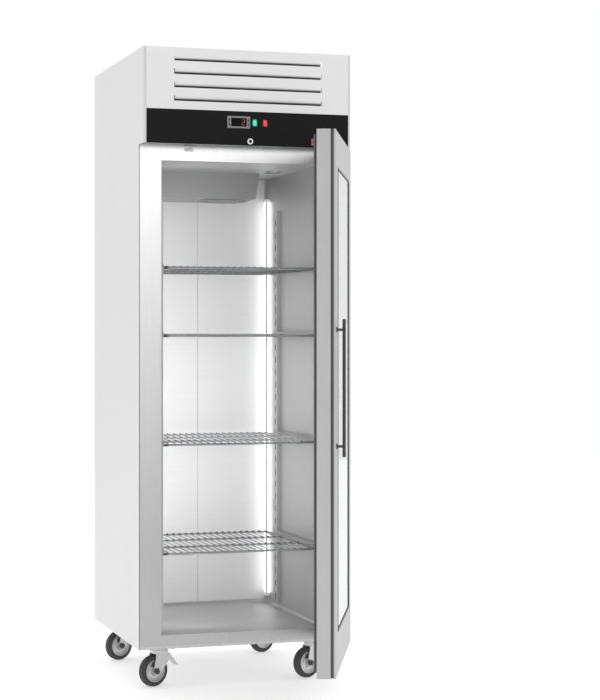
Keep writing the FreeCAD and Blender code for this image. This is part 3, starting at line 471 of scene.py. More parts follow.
# %% Give each node its finish
for node_name, node in frame["nodes"].items():
    node.data.materials.clear()
    node.data.materials.append(finishes[node_slot[node_name]])
own_finish = {"door_skin": door_steel, "front_frame": frame_painted_shading, "grille_panel": louvre_painted_shade,
              "evaporator_cover": cover_steel, "lock_plug": finishes["black_plastic"],
              "door_handle": finishes["dark_chrome"], "hood_base": finishes["hood_grey"]}
for node_name, special in own_finish.items():
    frame["nodes"][node_name].data.materials[0] = special
print("dressed", len(frame["nodes"]), "nodes with", len(set(node_slot.values())), "finishes")

# %% [markdown]
# ## Surfaces as grids
#
# Every new part is one or more grids of points. Two numbers, a row and a column, give a point,
# and the faces join neighbours. A round bar is a circle carried along a path. A turned part is a
# profile carried round an axis. All sizes are in millimetres, as on a workshop drawing, and the
# mesh is scaled to metres once, when it is made.


# %% Faces of a grid
def grid_faces(rows, columns, close_rows=False, close_columns=False):
    """Square faces between neighbouring grid points; point (i, j) is number i * columns + j."""
    i, j = np.meshgrid(np.arange(rows - (not close_rows)), np.arange(columns - (not close_columns)),
                       indexing="ij")
    i_next, j_next = (i + 1) % rows, (j + 1) % columns
    return np.stack([i * columns + j, i * columns + j_next, i_next * columns + j_next,
                     i_next * columns + j], -1).reshape(-1, 4)


def outward(points, faces):
    """The same closed surface with its faces turned outwards: its signed volume, summed over the
    faces as corner . (side x side), comes out positive."""
    a, b, c, d = (points[faces[:, k]] for k in range(4))
    volume = np.einsum("ij,ij->", a, np.cross(b, c)) + np.einsum("ij,ij->", a, np.cross(c, d))
    return (points, faces) if volume > 0 else (points, faces[:, ::-1])


def together(*surfaces):
    """Several surfaces as one list of points and one list of faces."""
    starts = np.cumsum([0] + [len(points) for points, _ in surfaces[:-1]])
    return (np.concatenate([points for points, _ in surfaces]),
            np.concatenate([faces + start for (_, faces), start in zip(surfaces, starts)]))


def repeated(surface, offsets):
    """Copies of a surface, one moved by each offset."""
    points, faces = surface
    offsets = np.asarray(offsets, float)
    copies = (points[None] + offsets[:, None]).reshape(-1, 3)
    numbers = faces[None] + (np.arange(len(offsets)) * len(points))[:, None, None]
    return copies, numbers.reshape(-1, 4)


# %% [markdown]
# ### From points to a piece
#
# Every new part becomes an object in the same way, so one function does it: it fills the mesh,
# joins the seams, gives the finish, and says which moving body the part rides on. Pressed and
# moulded parts get their edges rounded by a Bevel modifier, which follows any shape.


# %% From points to a piece
def make_piece(name, surface, body, slot, finish=None, smooth=35.0):
    """A mesh object from a surface in millimetres. Points that meet are joined, which closes the
    seams and the poles, and edges sharper than the given angle stay crisp. The finish is the
    slot's own, unless another is given."""
    points, faces = surface
    mesh = bpy.data.meshes.new(name)
    mesh.from_pydata((points * 0.001).tolist(), [], faces.tolist())
    work = bmesh.new()
    work.from_mesh(mesh)
    bmesh.ops.remove_doubles(work, verts=work.verts, dist=1e-6)
    bmesh.ops.dissolve_degenerate(work, edges=work.edges, dist=1e-7)
    work.to_mesh(mesh)
    work.free()
    mesh.shade_smooth()
    mesh.set_sharp_from_angle(angle=math.radians(smooth))
    piece = bpy.data.objects.new(name, mesh)
    scene.collection.objects.link(piece)
    mesh.materials.append(finish or finishes[slot])
    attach(piece, body)
    print(f"{name}: {len(mesh.vertices)} points, {len(mesh.polygons)} faces, on {body}")
    return piece


def bevelled(piece, width, segments=2):
    """Rounds the piece's sharp edges by a width in millimetres."""
    rounding = piece.modifiers.new("rounded_edges", "BEVEL")
    rounding.width = width * 0.001
    rounding.segments = segments
    rounding.limit_method = "ANGLE"
    rounding.angle_limit = math.radians(40.0)
    return piece


# %% [markdown]
# ### Bars and turned parts
#
# Rods, tubes and wires are circles carried along a path. Wheels, nuts and screws are profiles
# carried round an axis, as on a lathe. Blender's own curves and Screw modifier could do both. As
# formulas they give closed meshes that need no further work.


# %% Bars and turned parts
def bar(path, radius, upright=(0.0, 0.0, 1.0), sides=8, closed=False):
    """A round bar. Each path point p gets a ring p + radius * (cos a * upright + sin a * side),
    where side is at right angles to both the path and the upright. Open ends are closed by a
    ring of no size."""
    path = np.asarray(path, float)
    if closed:
        ahead = np.roll(path, -1, 0) - np.roll(path, 1, 0)
        scale = np.full(len(path), radius)
    else:
        ahead = np.gradient(path, axis=0)
        path = np.concatenate([path[:1], path, path[-1:]])
        ahead = np.concatenate([ahead[:1], ahead, ahead[-1:]])
        scale = np.full(len(path), radius)
        scale[[0, -1]] = 0.0
    ahead = ahead / np.linalg.norm(ahead, axis=1, keepdims=True)
    side = np.cross(ahead, np.asarray(upright, float))
    side /= np.linalg.norm(side, axis=1, keepdims=True)
    up = np.cross(side, ahead)
    angle = np.linspace(0.0, 2 * np.pi, sides, endpoint=False)
    ring = np.cos(angle)[:, None] * up[:, None] + np.sin(angle)[:, None] * side[:, None]
    points = path[:, None] + scale[:, None, None] * ring
    return outward(points.reshape(-1, 3), grid_faces(len(path), sides, closed, True))


def turned(profile, centre, axis, sides=48, closed=False):
    """A turned part: profile rows are (distance along the axis, radius), and the point at angle a
    is centre + along * axis + radius * (cos a * u + sin a * v). A closed profile makes a ring."""
    along, radius = np.asarray(profile, float).T
    axis = np.asarray(axis, float) / np.linalg.norm(axis)
    helper = np.array([1.0, 0.0, 0.0]) if abs(axis[2]) > 0.9 else np.array([0.0, 0.0, 1.0])
    u = np.cross(axis, helper)
    u /= np.linalg.norm(u)
    v = np.cross(axis, u)
    angle = np.linspace(0.0, 2 * np.pi, sides, endpoint=False)
    ring = np.cos(angle)[:, None] * u + np.sin(angle)[:, None] * v
    points = np.asarray(centre, float) + along[:, None, None] * axis + radius[:, None, None] * ring
    return outward(points.reshape(-1, 3), grid_faces(len(along), sides, closed, True))


# %% [markdown]
# ### Pushed outlines and mitred frames
#
# Sheet and moulded parts have one outline all the way through, like dough pushed through a plate.
# Seals and beads go round a rectangle, and their corners meet at a mitre, as on a window frame.


# %% Pushed outlines and mitred frames
def pushed(outline, along, hub=None):
    """A flat outline pushed along a vector: rows are its hub, the outline, the moved outline and
    the moved hub, so both ends are closed by triangles. The hub is the outline's middle, unless
    a point is given, as for an outline that is hollow on one side."""
    outline = np.asarray(outline, float)
    along = np.asarray(along, float)
    hub = outline.mean(0) if hub is None else hub
    hubs = np.repeat(np.asarray(hub)[None], len(outline), 0)
    points = np.stack([hubs, outline, outline + along, hubs + along])
    return outward(points.reshape(-1, 3), grid_faces(4, len(outline), False, True))


def block(x0, x1, y0, y1, z0, z1):
    """A straight block, as its lower outline pushed upwards."""
    return pushed([(x0, y0, z0), (x1, y0, z0), (x1, y1, z0), (x0, y1, z0)], (0.0, 0.0, z1 - z0))


def framed(profile, x0, x1, z0, z1):
    """A profile of (outward, y) points carried round an upright rectangle. At each corner the
    profile is set out along the diagonal, so the mitres meet."""
    outward_by, y = np.asarray(profile, float).T
    corner = np.array([(x0, z0), (x1, z0), (x1, z1), (x0, z1)], float)
    diagonal = np.array([(-1, -1), (1, -1), (1, 1), (-1, 1)], float)
    x = corner[:, :1] + diagonal[:, :1] * outward_by
    z = corner[:, 1:] + diagonal[:, 1:] * outward_by
    points = np.stack([x, np.broadcast_to(y, x.shape), z], -1)
    return outward(points.reshape(-1, 3), grid_faces(4, len(y), True, True))


# %% [markdown]
# ### Paths and moves
#
# The door and what is on it are easiest to work out shut, square to the axes. They are swung open
# afterwards, by the angle at which the door stands.


# %% Paths and moves
def rounded_rectangle(x0, x1, y0, y1, radius, steps=7):
    """Points round a rectangle whose corners are quarter circles."""
    angle = np.arange(4)[:, None] * np.pi / 2 + np.linspace(0.0, np.pi / 2, steps)
    middle_x = np.array([x1 - radius, x0 + radius, x0 + radius, x1 - radius])[:, None]
    middle_y = np.array([y1 - radius, y1 - radius, y0 + radius, y0 + radius])[:, None]
    return np.stack([middle_x + radius * np.cos(angle), middle_y + radius * np.sin(angle)],
                    -1).reshape(-1, 2)


def with_height(flat, z):
    return np.column_stack([flat, np.full(len(flat), z)])


def moved(surface, offset):
    return surface[0] + np.asarray(offset, float), surface[1]


def swung_open(surface):
    """A surface worked out on the shut door, turned about the upright hinge line."""
    c, s = math.cos(math.radians(DOOR_ANGLE)), math.sin(math.radians(DOOR_ANGLE))
    pivot = np.array([*HINGE, 0.0])
    return (surface[0] - pivot) @ np.array([[c, s, 0], [-s, c, 0], [0, 0, 1]]) + pivot, surface[1]


# %% [markdown]
# ## Wire shelves
#
# A wire shelf is a rod bent into a rectangle with rounded corners, two more rods across it, and
# thin wires welded on top from front to back. It could be an array modifier on one wire. Here the
# wires are one bar and a list of offsets, so each shelf is a single mesh that can slide out.

# %% Shelves
SHELF_LEVELS = (430.0, 774.0, 1118.0, 1333.0)
SHELF_FRONT, SHELF_BACK = -294.5, 258.5
CROSS_RODS = (-115.0, 80.0)
ROD, WIRE = 3.5, 1.75
WIRE_PITCH, WIRES = 22.0, 23


def shelf_surface(level):
    """Rod frame, two cross rods and 23 wires with their tips bent down over the end rods."""
    rod_z, wire_z = level - 2 * WIRE - ROD, level - WIRE
    reach = SHELF_HALF - ROD
    rim_path = rounded_rectangle(-reach, reach, SHELF_FRONT, SHELF_BACK, 20.0)
    rim = bar(with_height(rim_path, rod_z), ROD, sides=10, closed=True)
    cross = [bar([(-reach, y, rod_z), (reach, y, rod_z)], ROD, sides=10) for y in CROSS_RODS]
    wire = bar([(0.0, -297.4, wire_z - 4.5), (0.0, -296.6, wire_z - 1.4), (0.0, -294.2, wire_z),
                (0.0, 258.2, wire_z), (0.0, 260.6, wire_z - 1.4), (0.0, 261.2, wire_z - 4.5)],
               WIRE, (1.0, 0.0, 0.0), sides=6)
    across = (np.arange(WIRES) - WIRES // 2) * WIRE_PITCH
    offsets = np.column_stack([across, np.zeros((WIRES, 2))])
    return together(rim, *cross, repeated(wire, offsets))


for number, level in enumerate(SHELF_LEVELS, 1):
    shelf = make_piece(f"wire_shelf_{number}", shelf_surface(level), f"shelf_{number}",
                       "chrome", smooth=50.0)
    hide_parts(f"shelf_{number}")

# %% [markdown]
# ## Casters
#
# Each wheel is a grey rubber tyre pressed on a hub with raised rings. Both are turned parts: one
# closed profile goes round the axle, and every ring is a step in that profile. A plain cylinder
# would need each ring cut by hand. They trail behind the swivel, all turned the same way.

# %% Wheels
CASTERS = {"front_left": (-256.0, -235.0), "front_right": (256.0, -235.0),
           "rear_left": (-256.0, 275.0), "rear_right": (256.0, 275.0)}
HEADING, TRAIL = 21.7, 24.0
tyre_profile = [(-12.4, 36.2), (-13.4, 38.0), (-14.0, 41.0), (-13.2, 44.5), (-11.0, 47.4), (-7.5, 49.4),
                (-3.0, 50.0), (3.0, 50.0), (7.5, 49.4), (11.0, 47.4), (13.2, 44.5), (14.0, 41.0),
                (13.4, 38.0), (12.4, 36.2), (9.0, 35.4), (-9.0, 35.4)]
half_hub = [(0.0, 36.0), (11.5, 36.0), (13.0, 35.2), (13.2, 33.4), (12.0, 32.2), (9.6, 31.4),
            (8.6, 28.0), (9.4, 26.8), (9.4, 25.4), (8.2, 24.4), (7.6, 18.0), (8.6, 15.6),
            (12.0, 13.6), (15.2, 12.8), (16.0, 11.8), (16.0, 5.3)]
hub_profile = half_hub + [(-along, radius) for along, radius in half_hub[:0:-1]]
nut_profile = [(0.0, 0.0), (0.0, 10.4), (5.6, 10.4), (7.2, 8.8), (7.2, 5.0), (9.4, 5.0),
               (10.0, 4.2), (10.0, 0.0)]
NUT_SEAT = 20.0
AXLE_HEIGHT = 50.0
axle = np.array([-math.sin(math.radians(HEADING)), math.cos(math.radians(HEADING)), 0.0])
for spot, (x, y) in CASTERS.items():
    centre = np.array([x - TRAIL * axle[1], y + TRAIL * axle[0], AXLE_HEIGHT])
    tyre = make_piece(f"tyre_{spot}", turned(tyre_profile, centre, axle, 72, True),
                      f"caster_wheel_{spot}", "wheel_rubber")
    hub = make_piece(f"wheel_hub_{spot}", turned(hub_profile, centre, axle, 72, True),
                     f"caster_wheel_{spot}", "zinc")
    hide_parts(f"caster_wheel_{spot}")
    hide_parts(f"caster_wheel_{spot}")
    nuts = [turned(nut_profile, centre + side * NUT_SEAT * axle, side * axle, 6) for side in (-1, 1)]
    make_piece(f"axle_nuts_{spot}", together(*nuts), f"caster_fork_{spot}", "zinc",
               finishes["dark_chrome"])

# %% [markdown]
# ## The door's seal
#
# The seal is a soft extrusion with a magnet in its outer chamber and a bellows that lets it reach
# the cabinet. A plain square strip would show none of that at the corner. The profile below has
# the chamber and the folds of a usual seal, and it is carried round the door with mitred corners.

# %% Seal
DOOR_INNER = -321.0
seal_section = [(-3.0, 0.0), (-1.2, 0.6), (-0.4, 2.0), (-2.2, 3.4), (-0.5, 4.8), (0.0, 6.6),
                (-0.4, 8.8), (-1.6, 9.6), (-14.4, 9.6), (-15.6, 8.8), (-16.0, 6.6), (-15.5, 4.8),
                (-13.6, 3.4), (-15.6, 2.0), (-14.8, 0.6), (-13.0, 0.0)]
seal_profile = [(across, DOOR_INNER + off) for across, off in seal_section]
seal = swung_open(framed(seal_profile, -323.0, 323.0, 145.0, 1691.0))
seal_piece = make_piece("door_seal", seal, "door", "gasket_rubber", smooth=60.0)
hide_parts("door_gasket")

# %% [markdown]
# ## Glazing details
#
# Two panes are held apart by a hollow aluminium spacer, and the outer pane has a black printed
# border that hides it. A soft bead outside seals the pane to the steel. All three are thin mitred
# frames round the same rectangle, so one function sets them out and only the sections differ.

# %% Spacer, border and bead
GLASS_HALF, GLASS_LOW, GLASS_HIGH = 242.0, 253.0, 1600.0


def glass_frame(profile):
    """A section carried round the glass, and swung open with the door."""
    return swung_open(framed(profile, -GLASS_HALF, GLASS_HALF, GLASS_LOW, GLASS_HIGH))


spacer_profile = [(-9.0, -369.6), (-1.0, -369.6), (-1.0, -345.4), (-9.0, -345.4), (-9.0, -350.0),
                  (-8.4, -350.6), (-8.4, -364.4), (-9.0, -365.0)]
make_piece("glass_spacer", glass_frame(spacer_profile), "door", "fins")
border_profile = [(-16.0, -369.9), (-0.4, -369.9), (-0.4, -369.7), (-16.0, -369.7)]
make_piece("glass_border", glass_frame(border_profile), "door", "black_plastic")
bead_profile = [(1.2, FACE), (1.2, FACE - 0.8), (0.4, FACE - 1.8), (-2.6, FACE - 1.8),
                (-3.8, FACE - 0.8), (-4.2, FACE + 1.0), (0.0, FACE + 1.0), (0.0, FACE)]
make_piece("glazing_bead", glass_frame(bead_profile), "door", "gasket_rubber", smooth=60.0)

# %% [markdown]
# ### Handle rosettes
#
# A small dished collar covers the place where each post of the handle meets the door. It is turned
# once about a post and repeated at the other.

# %% Rosettes
HANDLE_X, POST_HEIGHTS = -292.0, (794.0, 1130.0)
rosette_profile = [(0.0, 0.0), (0.0, 9.0), (0.8, 9.0), (2.2, 8.2), (3.2, 6.6), (3.4, 4.6), (3.4, 0.0)]
rosette = turned(rosette_profile, (HANDLE_X, FACE, 0.0), (0.0, -1.0, 0.0), 40)
rosettes = swung_open(repeated(rosette, [(0.0, 0.0, height) for height in POST_HEIGHTS]))
make_piece("handle_rosettes", rosettes, "door", "chrome", finishes["dark_chrome"])

# %% [markdown]
# ## Lamps
#
# The cavity is lit by an upright lamp in each rear corner: a slim aluminium channel with a
# glowing lens. Seen from the front, the channel's corner divides the glow into two bright lines.
# Both lamps are worked out at once: the side, -1 or 1, is a number in each outline.


# %% Lamp surfaces
LAMP_LOW, LAMP_HIGH = edge("led_lamps", 0, 2), edge("led_lamps", 1, 2)
CAP, LAMP_FRONT, LAMP_BACK = 12.0, 275.0, 305.0
LENS_HEIGHT = LAMP_HIGH - LAMP_LOW - 2 * CAP
lens_outline = [(1.5, LAMP_FRONT), (12.0, 275.2), (15.0, 277.0), (16.0, 280.0), (16.0, 300.0),
                (15.0, 303.0), (12.0, 304.8), (1.5, LAMP_BACK)]
rib_outline = [(16.2, 276.5), (14.4, LAMP_FRONT), (11.6, LAMP_FRONT), (14.0, 277.2)]


def lamp_part_surface(outline, low, height):
    """An outline of (distance from the wall, y), pushed upwards beside each of the two walls."""
    return together(*[pushed([((WALL - off) * side, y, low) for off, y in outline],
                             (0.0, 0.0, height)) for side in (-1, 1)])


lens_piece = make_piece("lamp_lenses", lamp_part_surface(lens_outline, LAMP_LOW + CAP, LENS_HEIGHT),
                        "cabinet", "lamp", smooth=50.0)
lamp_caps = together(*[block(*sorted((WALL * side, (WALL - 16.0) * side)), LAMP_FRONT, LAMP_BACK,
                             z, z + CAP) for side in (-1, 1) for z in (LAMP_LOW, LAMP_HIGH - CAP)])
cap_piece = bevelled(make_piece("lamp_end_caps", lamp_caps, "cabinet", "white_plastic"), 1.5)
rib_surface = lamp_part_surface(rib_outline, LAMP_LOW + CAP - 1.0, LENS_HEIGHT + 2.0)
rib_piece = make_piece("lamp_ribs", rib_surface, "cabinet", "fins")
for lamp_part in (lens_piece, cap_piece, rib_piece):
    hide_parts("led_lamps")

# %% [markdown]
# ## Finned coils
#
# A condenser is a stack of thin aluminium fins pierced by copper tubes that turn back at each
# end. A bump pattern on a solid block would look right only from straight in front. Here one fin is
# a thin flat sheet, and a list of offsets repeats it, so light really falls between the fins. The
# tubes are bars, and the return bends are half circles.


# %% Fins and tubes
def fin_stack(x0, x1, y0, y1, z0, z1, pitch):
    """Fins at right angles to X, 0.24 mm thick, with their upper and lower edges left open. A fin
    point lies at y = y0 + (y1 - y0) * t, in eight strips from front to back."""
    y = y0 + (y1 - y0) * np.linspace(0.0, 1.0, 9)
    outline = np.concatenate([np.column_stack([np.full(9, -0.12), y]),
                              np.column_stack([np.full(9, 0.12), y])[::-1]])
    rows = np.stack([with_height(outline, z0), with_height(outline, z1)])
    one = outward(rows.reshape(-1, 3), grid_faces(2, len(outline), False, True))
    places = np.arange(x0 + pitch / 2, x1, pitch)
    return repeated(one, np.column_stack([places, np.zeros((len(places), 2))]))


def return_bend(x, y_pair, z, direction, radius, steps=9):
    """A half circle in a level plane that joins two tubes."""
    angle = np.linspace(-np.pi / 2, np.pi / 2, steps)
    centre_y, half = sum(y_pair) / 2, abs(y_pair[1] - y_pair[0]) / 2
    path = np.column_stack([x + direction * half * np.cos(angle), centre_y + half * np.sin(angle),
                            np.full(steps, z)])
    return bar(path, radius, sides=10)


COIL_X, COIL_Z = -90.0, 1862.0
TUBE_Y, TUBE_RADIUS = (-307.0, -281.0), 4.2
tube_rows = COIL_Z - 109.8 + 33.96 * np.arange(7)
condenser_fins = fin_stack(COIL_X - 129.0, COIL_X + 129.0, -319.5, -268.6, 1733.0, 1991.0, 3.6)
condenser_tubes = together(
    *[bar([(COIL_X - 134.0, y, z), (COIL_X + 134.0, y, z)], TUBE_RADIUS, sides=10)
      for y in TUBE_Y for z in tube_rows],
    *[return_bend(COIL_X + side * 133.5, TUBE_Y, z, side, TUBE_RADIUS)
      for side in (-1, 1) for z in tube_rows])
condenser_plates = together(*[block(x, x + 2.0, -320.0, -268.0, 1712.4, 1994.0)
                              for x in (COIL_X - 132.0, COIL_X + 130.0)])
for coil_part in (
        make_piece("condenser_fins", condenser_fins, "cabinet", "fins"),
        make_piece("condenser_tubes", condenser_tubes, "cabinet", "copper", smooth=50.0),
        bevelled(make_piece("condenser_plates", condenser_plates, "cabinet",
                            "galvanised"), 0.6)):
    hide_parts("condenser_coil")

# %% [markdown]
# ### The coil inside
#
# The evaporator is a smaller coil of the same kind, hidden in its cover beside a fan. Its fins
# stand further apart, so that frost can't close them. The same two functions make it. Its bends
# end short of the fan's sweep.

# %% Evaporator
COVER_LOW = edge("evaporator_cover", 0, 2)
BEND_Y, LAYERS, COIL_TUBE = ((120.0, 146.0), (172.0, 198.0)), (1607.0, 1635.0), 4.0
evaporator_fins = fin_stack(-214.0, -36.0, 106.0, 239.0, COVER_LOW + 11.0, 1650.0, 5.0)
evaporator_tubes = together(
    *[bar([(-226.0, y, z), (-33.0, y, z)], COIL_TUBE, sides=10)
      for y in (*BEND_Y[0], *BEND_Y[1], 224.0) for z in LAYERS],
    *[return_bend(x, pair, z, side, COIL_TUBE) for x, side in ((-225.5, -1), (-33.5, 1))
      for pair in BEND_Y for z in LAYERS])
for coil_part in (
        make_piece("evaporator_fins", evaporator_fins, "cabinet", "fins"),
        make_piece("evaporator_tubes", evaporator_tubes, "cabinet", "copper", smooth=50.0)):
    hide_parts("evaporator_coil")

# %% [markdown]
# ## Compressor
#
# The compressor is a welded steel pot. Its shell is a turned part: a bowl, a dome and the proud
# seam where they were welded. It stands on a pressed plate with four rubber grommets, and a
# plastic cover hides its terminals. A turned shell keeps the dome perfectly round at little cost.

# %% Compressor shell, plate and cover
POT_X, POT_Y = 165.0, 150.0
POT_Z = edge("compressor", 0, 2)
POT_HIGH = edge("compressor", 1, 2) - POT_Z
POT_RADIUS, DOME_RISE = 82.0, 52.0
quarter = np.linspace(0.0, np.pi / 2, 12)
dome = np.column_stack([POT_HIGH - DOME_RISE + DOME_RISE * np.sin(quarter),
                        POT_RADIUS * np.cos(quarter) ** 0.72])
shell_profile = [(4.2, 0.0), (4.2, 58.0), (7.0, 70.0), (14.0, 78.5), (26.0, POT_RADIUS),
                 (88.0, POT_RADIUS), (89.0, 86.0), (91.5, 87.0), (94.0, 86.0), (95.0, POT_RADIUS),
                 *dome.tolist()]
shell_surface = turned(shell_profile, (POT_X, POT_Y, POT_Z), (0, 0, 1), 72)
pot_shell = make_piece("compressor_shell", shell_surface, "cabinet", "compressor_black", smooth=40.0)
plate_outline = rounded_rectangle(POT_X - 105.0, POT_X + 105.0, POT_Y - 70.0, POT_Y + 70.0, 18.0)
plate_surface = pushed(with_height(plate_outline, POT_Z), (0, 0, 4.0))
plate = bevelled(make_piece("compressor_plate", plate_surface, "cabinet", "compressor_black"), 0.8)
grommet_profile = [(0.0, 4.0), (0.0, 11.0), (3.0, 12.0), (5.0, 9.5), (7.0, 9.5), (9.0, 11.0),
                   (11.0, 10.0), (11.5, 7.0), (11.5, 4.0)]
grommet = turned(grommet_profile, (POT_X, POT_Y, POT_Z + 3.9), (0, 0, 1), 28, True)
grommets = make_piece("compressor_grommets",
                      repeated(grommet, [(dx, dy, 0) for dx in (-90, 90) for dy in (-52, 52)]),
                      "cabinet", "wheel_rubber")
cover_outline = rounded_rectangle(POT_X - 120.0, POT_X - 72.0, POT_Y - 28.0, POT_Y + 28.0, 8.0)
terminal_cover = pushed(with_height(cover_outline, POT_Z + 44.0), (0, 0, 60.0))
cover = bevelled(make_piece("terminal_cover", terminal_cover, "cabinet", "dark_plastic"), 3.0, 3)
for pot_part in (pot_shell, plate, grommets, cover):
    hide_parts("compressor")

# %% [markdown]
# ## Fan guard
#
# The mouth in the evaporator cover has a wire guard: rings of thin wire on four spokes, just
# below the sheet. A sheet with a mesh pattern could stand for it, but the shelves below look up at
# it from close by. So each ring is a real wire, a circle carried round as a closed bar.

# %% Guard under the evaporator
FAN_X, FAN_Y = 70.0, 195.0
GUARD_Z = COVER_LOW - 2.5


def round_fan(radius, angles, z):
    """Points on a level circle round the fan's axis, at the given angles."""
    return np.column_stack([FAN_X + radius * np.cos(angles), FAN_Y + radius * np.sin(angles),
                            np.full(len(angles), z)])


circle = np.linspace(0.0, 2 * np.pi, 48, endpoint=False)
guard_rings = [bar(round_fan(radius, circle, GUARD_Z), 1.1, sides=6, closed=True)
               for radius in (14.0, 27.0, 40.0, 53.0, 66.0, 79.0, 88.0)]
spoke_angles = np.radians([45.0, 135.0, 225.0, 315.0])
guard_spokes = [bar(ends, 1.3, sides=6)
                for ends in zip(round_fan(10, spoke_angles, GUARD_Z + 1.6),
                                round_fan(92, spoke_angles, GUARD_Z + 1.6))]
make_piece("evaporator_fan_guard", together(*guard_rings, *guard_spokes), "cabinet",
           "zinc", smooth=60.0)

# %% [markdown]
# ## Controls
#
# The thermostat shows a red digit behind a dark window. A digit is up to seven slim bars with
# pointed ends, so one bar shape is turned and repeated. A figure in a font would look printed.
# Here each bar is a lit shape of its own.


# %% Window and digit
CONTROL_X, CONTROL_Z = centre_of("controller_case", 0), 1783.0
WINDOW_HALF_WIDTH, WINDOW_HALF_HEIGHT, WINDOW_FACE = 25.3, 13.3, FACE - 3.2
window = block(CONTROL_X - WINDOW_HALF_WIDTH, CONTROL_X + WINDOW_HALF_WIDTH, WINDOW_FACE, FACE - 2.8,
               CONTROL_Z - WINDOW_HALF_HEIGHT, CONTROL_Z + WINDOW_HALF_HEIGHT)
make_piece("display_window", window, "cabinet", "black_plastic", finishes["window_black"])


def segment(x, z, length, level):
    """A slim bar with pointed ends, lying level or upright, 0.25 mm proud of the window."""
    half, slim = length / 2, 0.9
    outline = np.array([(-half, 0.0), (-half + slim, slim), (half - slim, slim), (half, 0.0),
                        (half - slim, -slim), (-half + slim, -slim)])
    outline = outline if level else outline[:, ::-1]
    points = np.column_stack([x + outline[:, 0] + 0.12 * outline[:, 1] * (not level),
                              np.full(6, WINDOW_FACE), z + outline[:, 1]])
    return pushed(points, (0.0, -0.25, 0.0))


def digit(x, z, width, height, lit):
    """The lit bars of a seven-bar digit: three level ones and four upright ones."""
    half = height / 2
    bars = {"top": (x, z + half, width, True), "middle": (x, z, width, True),
            "bottom": (x, z - half, width, True),
            "top_left": (x - width / 2, z + half / 2, half, False),
            "top_right": (x + width / 2, z + half / 2, half, False),
            "low_left": (x - width / 2, z - half / 2, half, False),
            "low_right": (x + width / 2, z - half / 2, half, False)}
    return together(*[segment(*bars[name]) for name in lit])


red_digit = glowing("red_digit", (0.20, 0.01, 0.02), (0.75, 0.03, 0.06), 0.34)
reading = digit(CONTROL_X + 15.0, CONTROL_Z, 8.5, 17.0,
                ("top", "middle", "bottom", "top_right", "low_left"))
make_piece("display_digit", reading, "cabinet", "red_lens", red_digit)

# %% [markdown]
# ### Marks on the keys
#
# Each key carries a printed arrow head. A print is usually a picture on the surface. Here it is a
# plate a quarter of a millimetre thick, so it keeps its edge at any distance, and it rides on its
# own key and goes down with it.


# %% Key marks
def key_mark(x, z, face, half_width, half_height):
    """A small printed arrow head: a trapezium that narrows upwards, 0.25 mm thick."""
    outline = [(-half_width, -half_height), (half_width, -half_height),
               (0.45 * half_width, half_height), (-0.45 * half_width, half_height)]
    return pushed([(x + dx, face, z + dz) for dx, dz in outline], (0.0, -0.25, 0.0))


for number in range(1, 5):
    button = f"controller_button_{number}"
    mark = key_mark(centre_of(button, 0), centre_of(button, 2), edge(button, 0, 1), 2.7, 2.4)
    make_piece(f"key_mark_{number}", mark, button, "black_plastic", finishes["window_black"])
bezel_marks = together(*[key_mark(CONTROL_X + side * 31.2, CONTROL_Z, FACE - 4.0, 2.2, 0.8)
                         for side in (-1, 1)])
make_piece("bezel_marks", bezel_marks, "cabinet", "black_plastic", finishes["window_black"])


# %% [markdown]
# ### Rocker switches
#
# Each switch is a crowned lens that stands higher at its two ends than in the middle, and a small
# lamp behind it makes its middle glow. The crown is one formula over the pad, and the glow is a
# round gradient centred behind the lens, so no light has to be placed inside.


# %% Rockers
def rocker_surface(x, tilt=6.0):
    """A crowned pad 16 wide and 23 high: depth = 2.4 * (1 - u^2)^0.5 * (1 - v^4)^0.5, plus a
    valley of 1.2 * |v|. Both u and v run from -1 to 1 over the pad."""
    u, v = np.meshgrid(np.linspace(-1.0, 1.0, 17), np.linspace(-1.0, 1.0, 25), indexing="ij")
    crown = 2.4 * np.sqrt(np.clip(1 - u ** 2, 0, 1)) * np.sqrt(np.clip(1 - v ** 4, 0, 1))
    depth = crown + 1.2 * np.abs(v) + 0.6
    front = np.stack([x + 7.9 * u, FACE + 1.5 - depth, 11.3 * v], -1)
    back = np.stack([x + 7.9 * u, np.full(u.shape, FACE + 3.5), 11.3 * v], -1)
    columns, rows = u.shape
    count = columns * rows
    rim = np.concatenate([np.arange(columns) * rows, count - rows + np.arange(1, rows),
                          np.arange(columns - 1, 0, -1) * rows - 1, np.arange(rows - 2, 0, -1)])
    faces = grid_faces(columns, rows)
    wall = np.stack([rim, np.roll(rim, -1), np.roll(rim, -1) + count, rim + count], -1)
    points = np.concatenate([front.reshape(-1, 3), back.reshape(-1, 3)])
    pad = outward(points, np.concatenate([faces[:, ::-1], wall, faces + count]))
    c, s = math.cos(math.radians(-tilt)), math.sin(math.radians(-tilt))
    pivot = np.array([0.0, FACE + 4.0, 0.0])
    tipped = (pad[0] - pivot) @ np.array([[1, 0, 0], [0, c, s], [0, -s, c]]) + pivot
    return tipped + (0.0, 0.0, CONTROL_Z), pad[1]


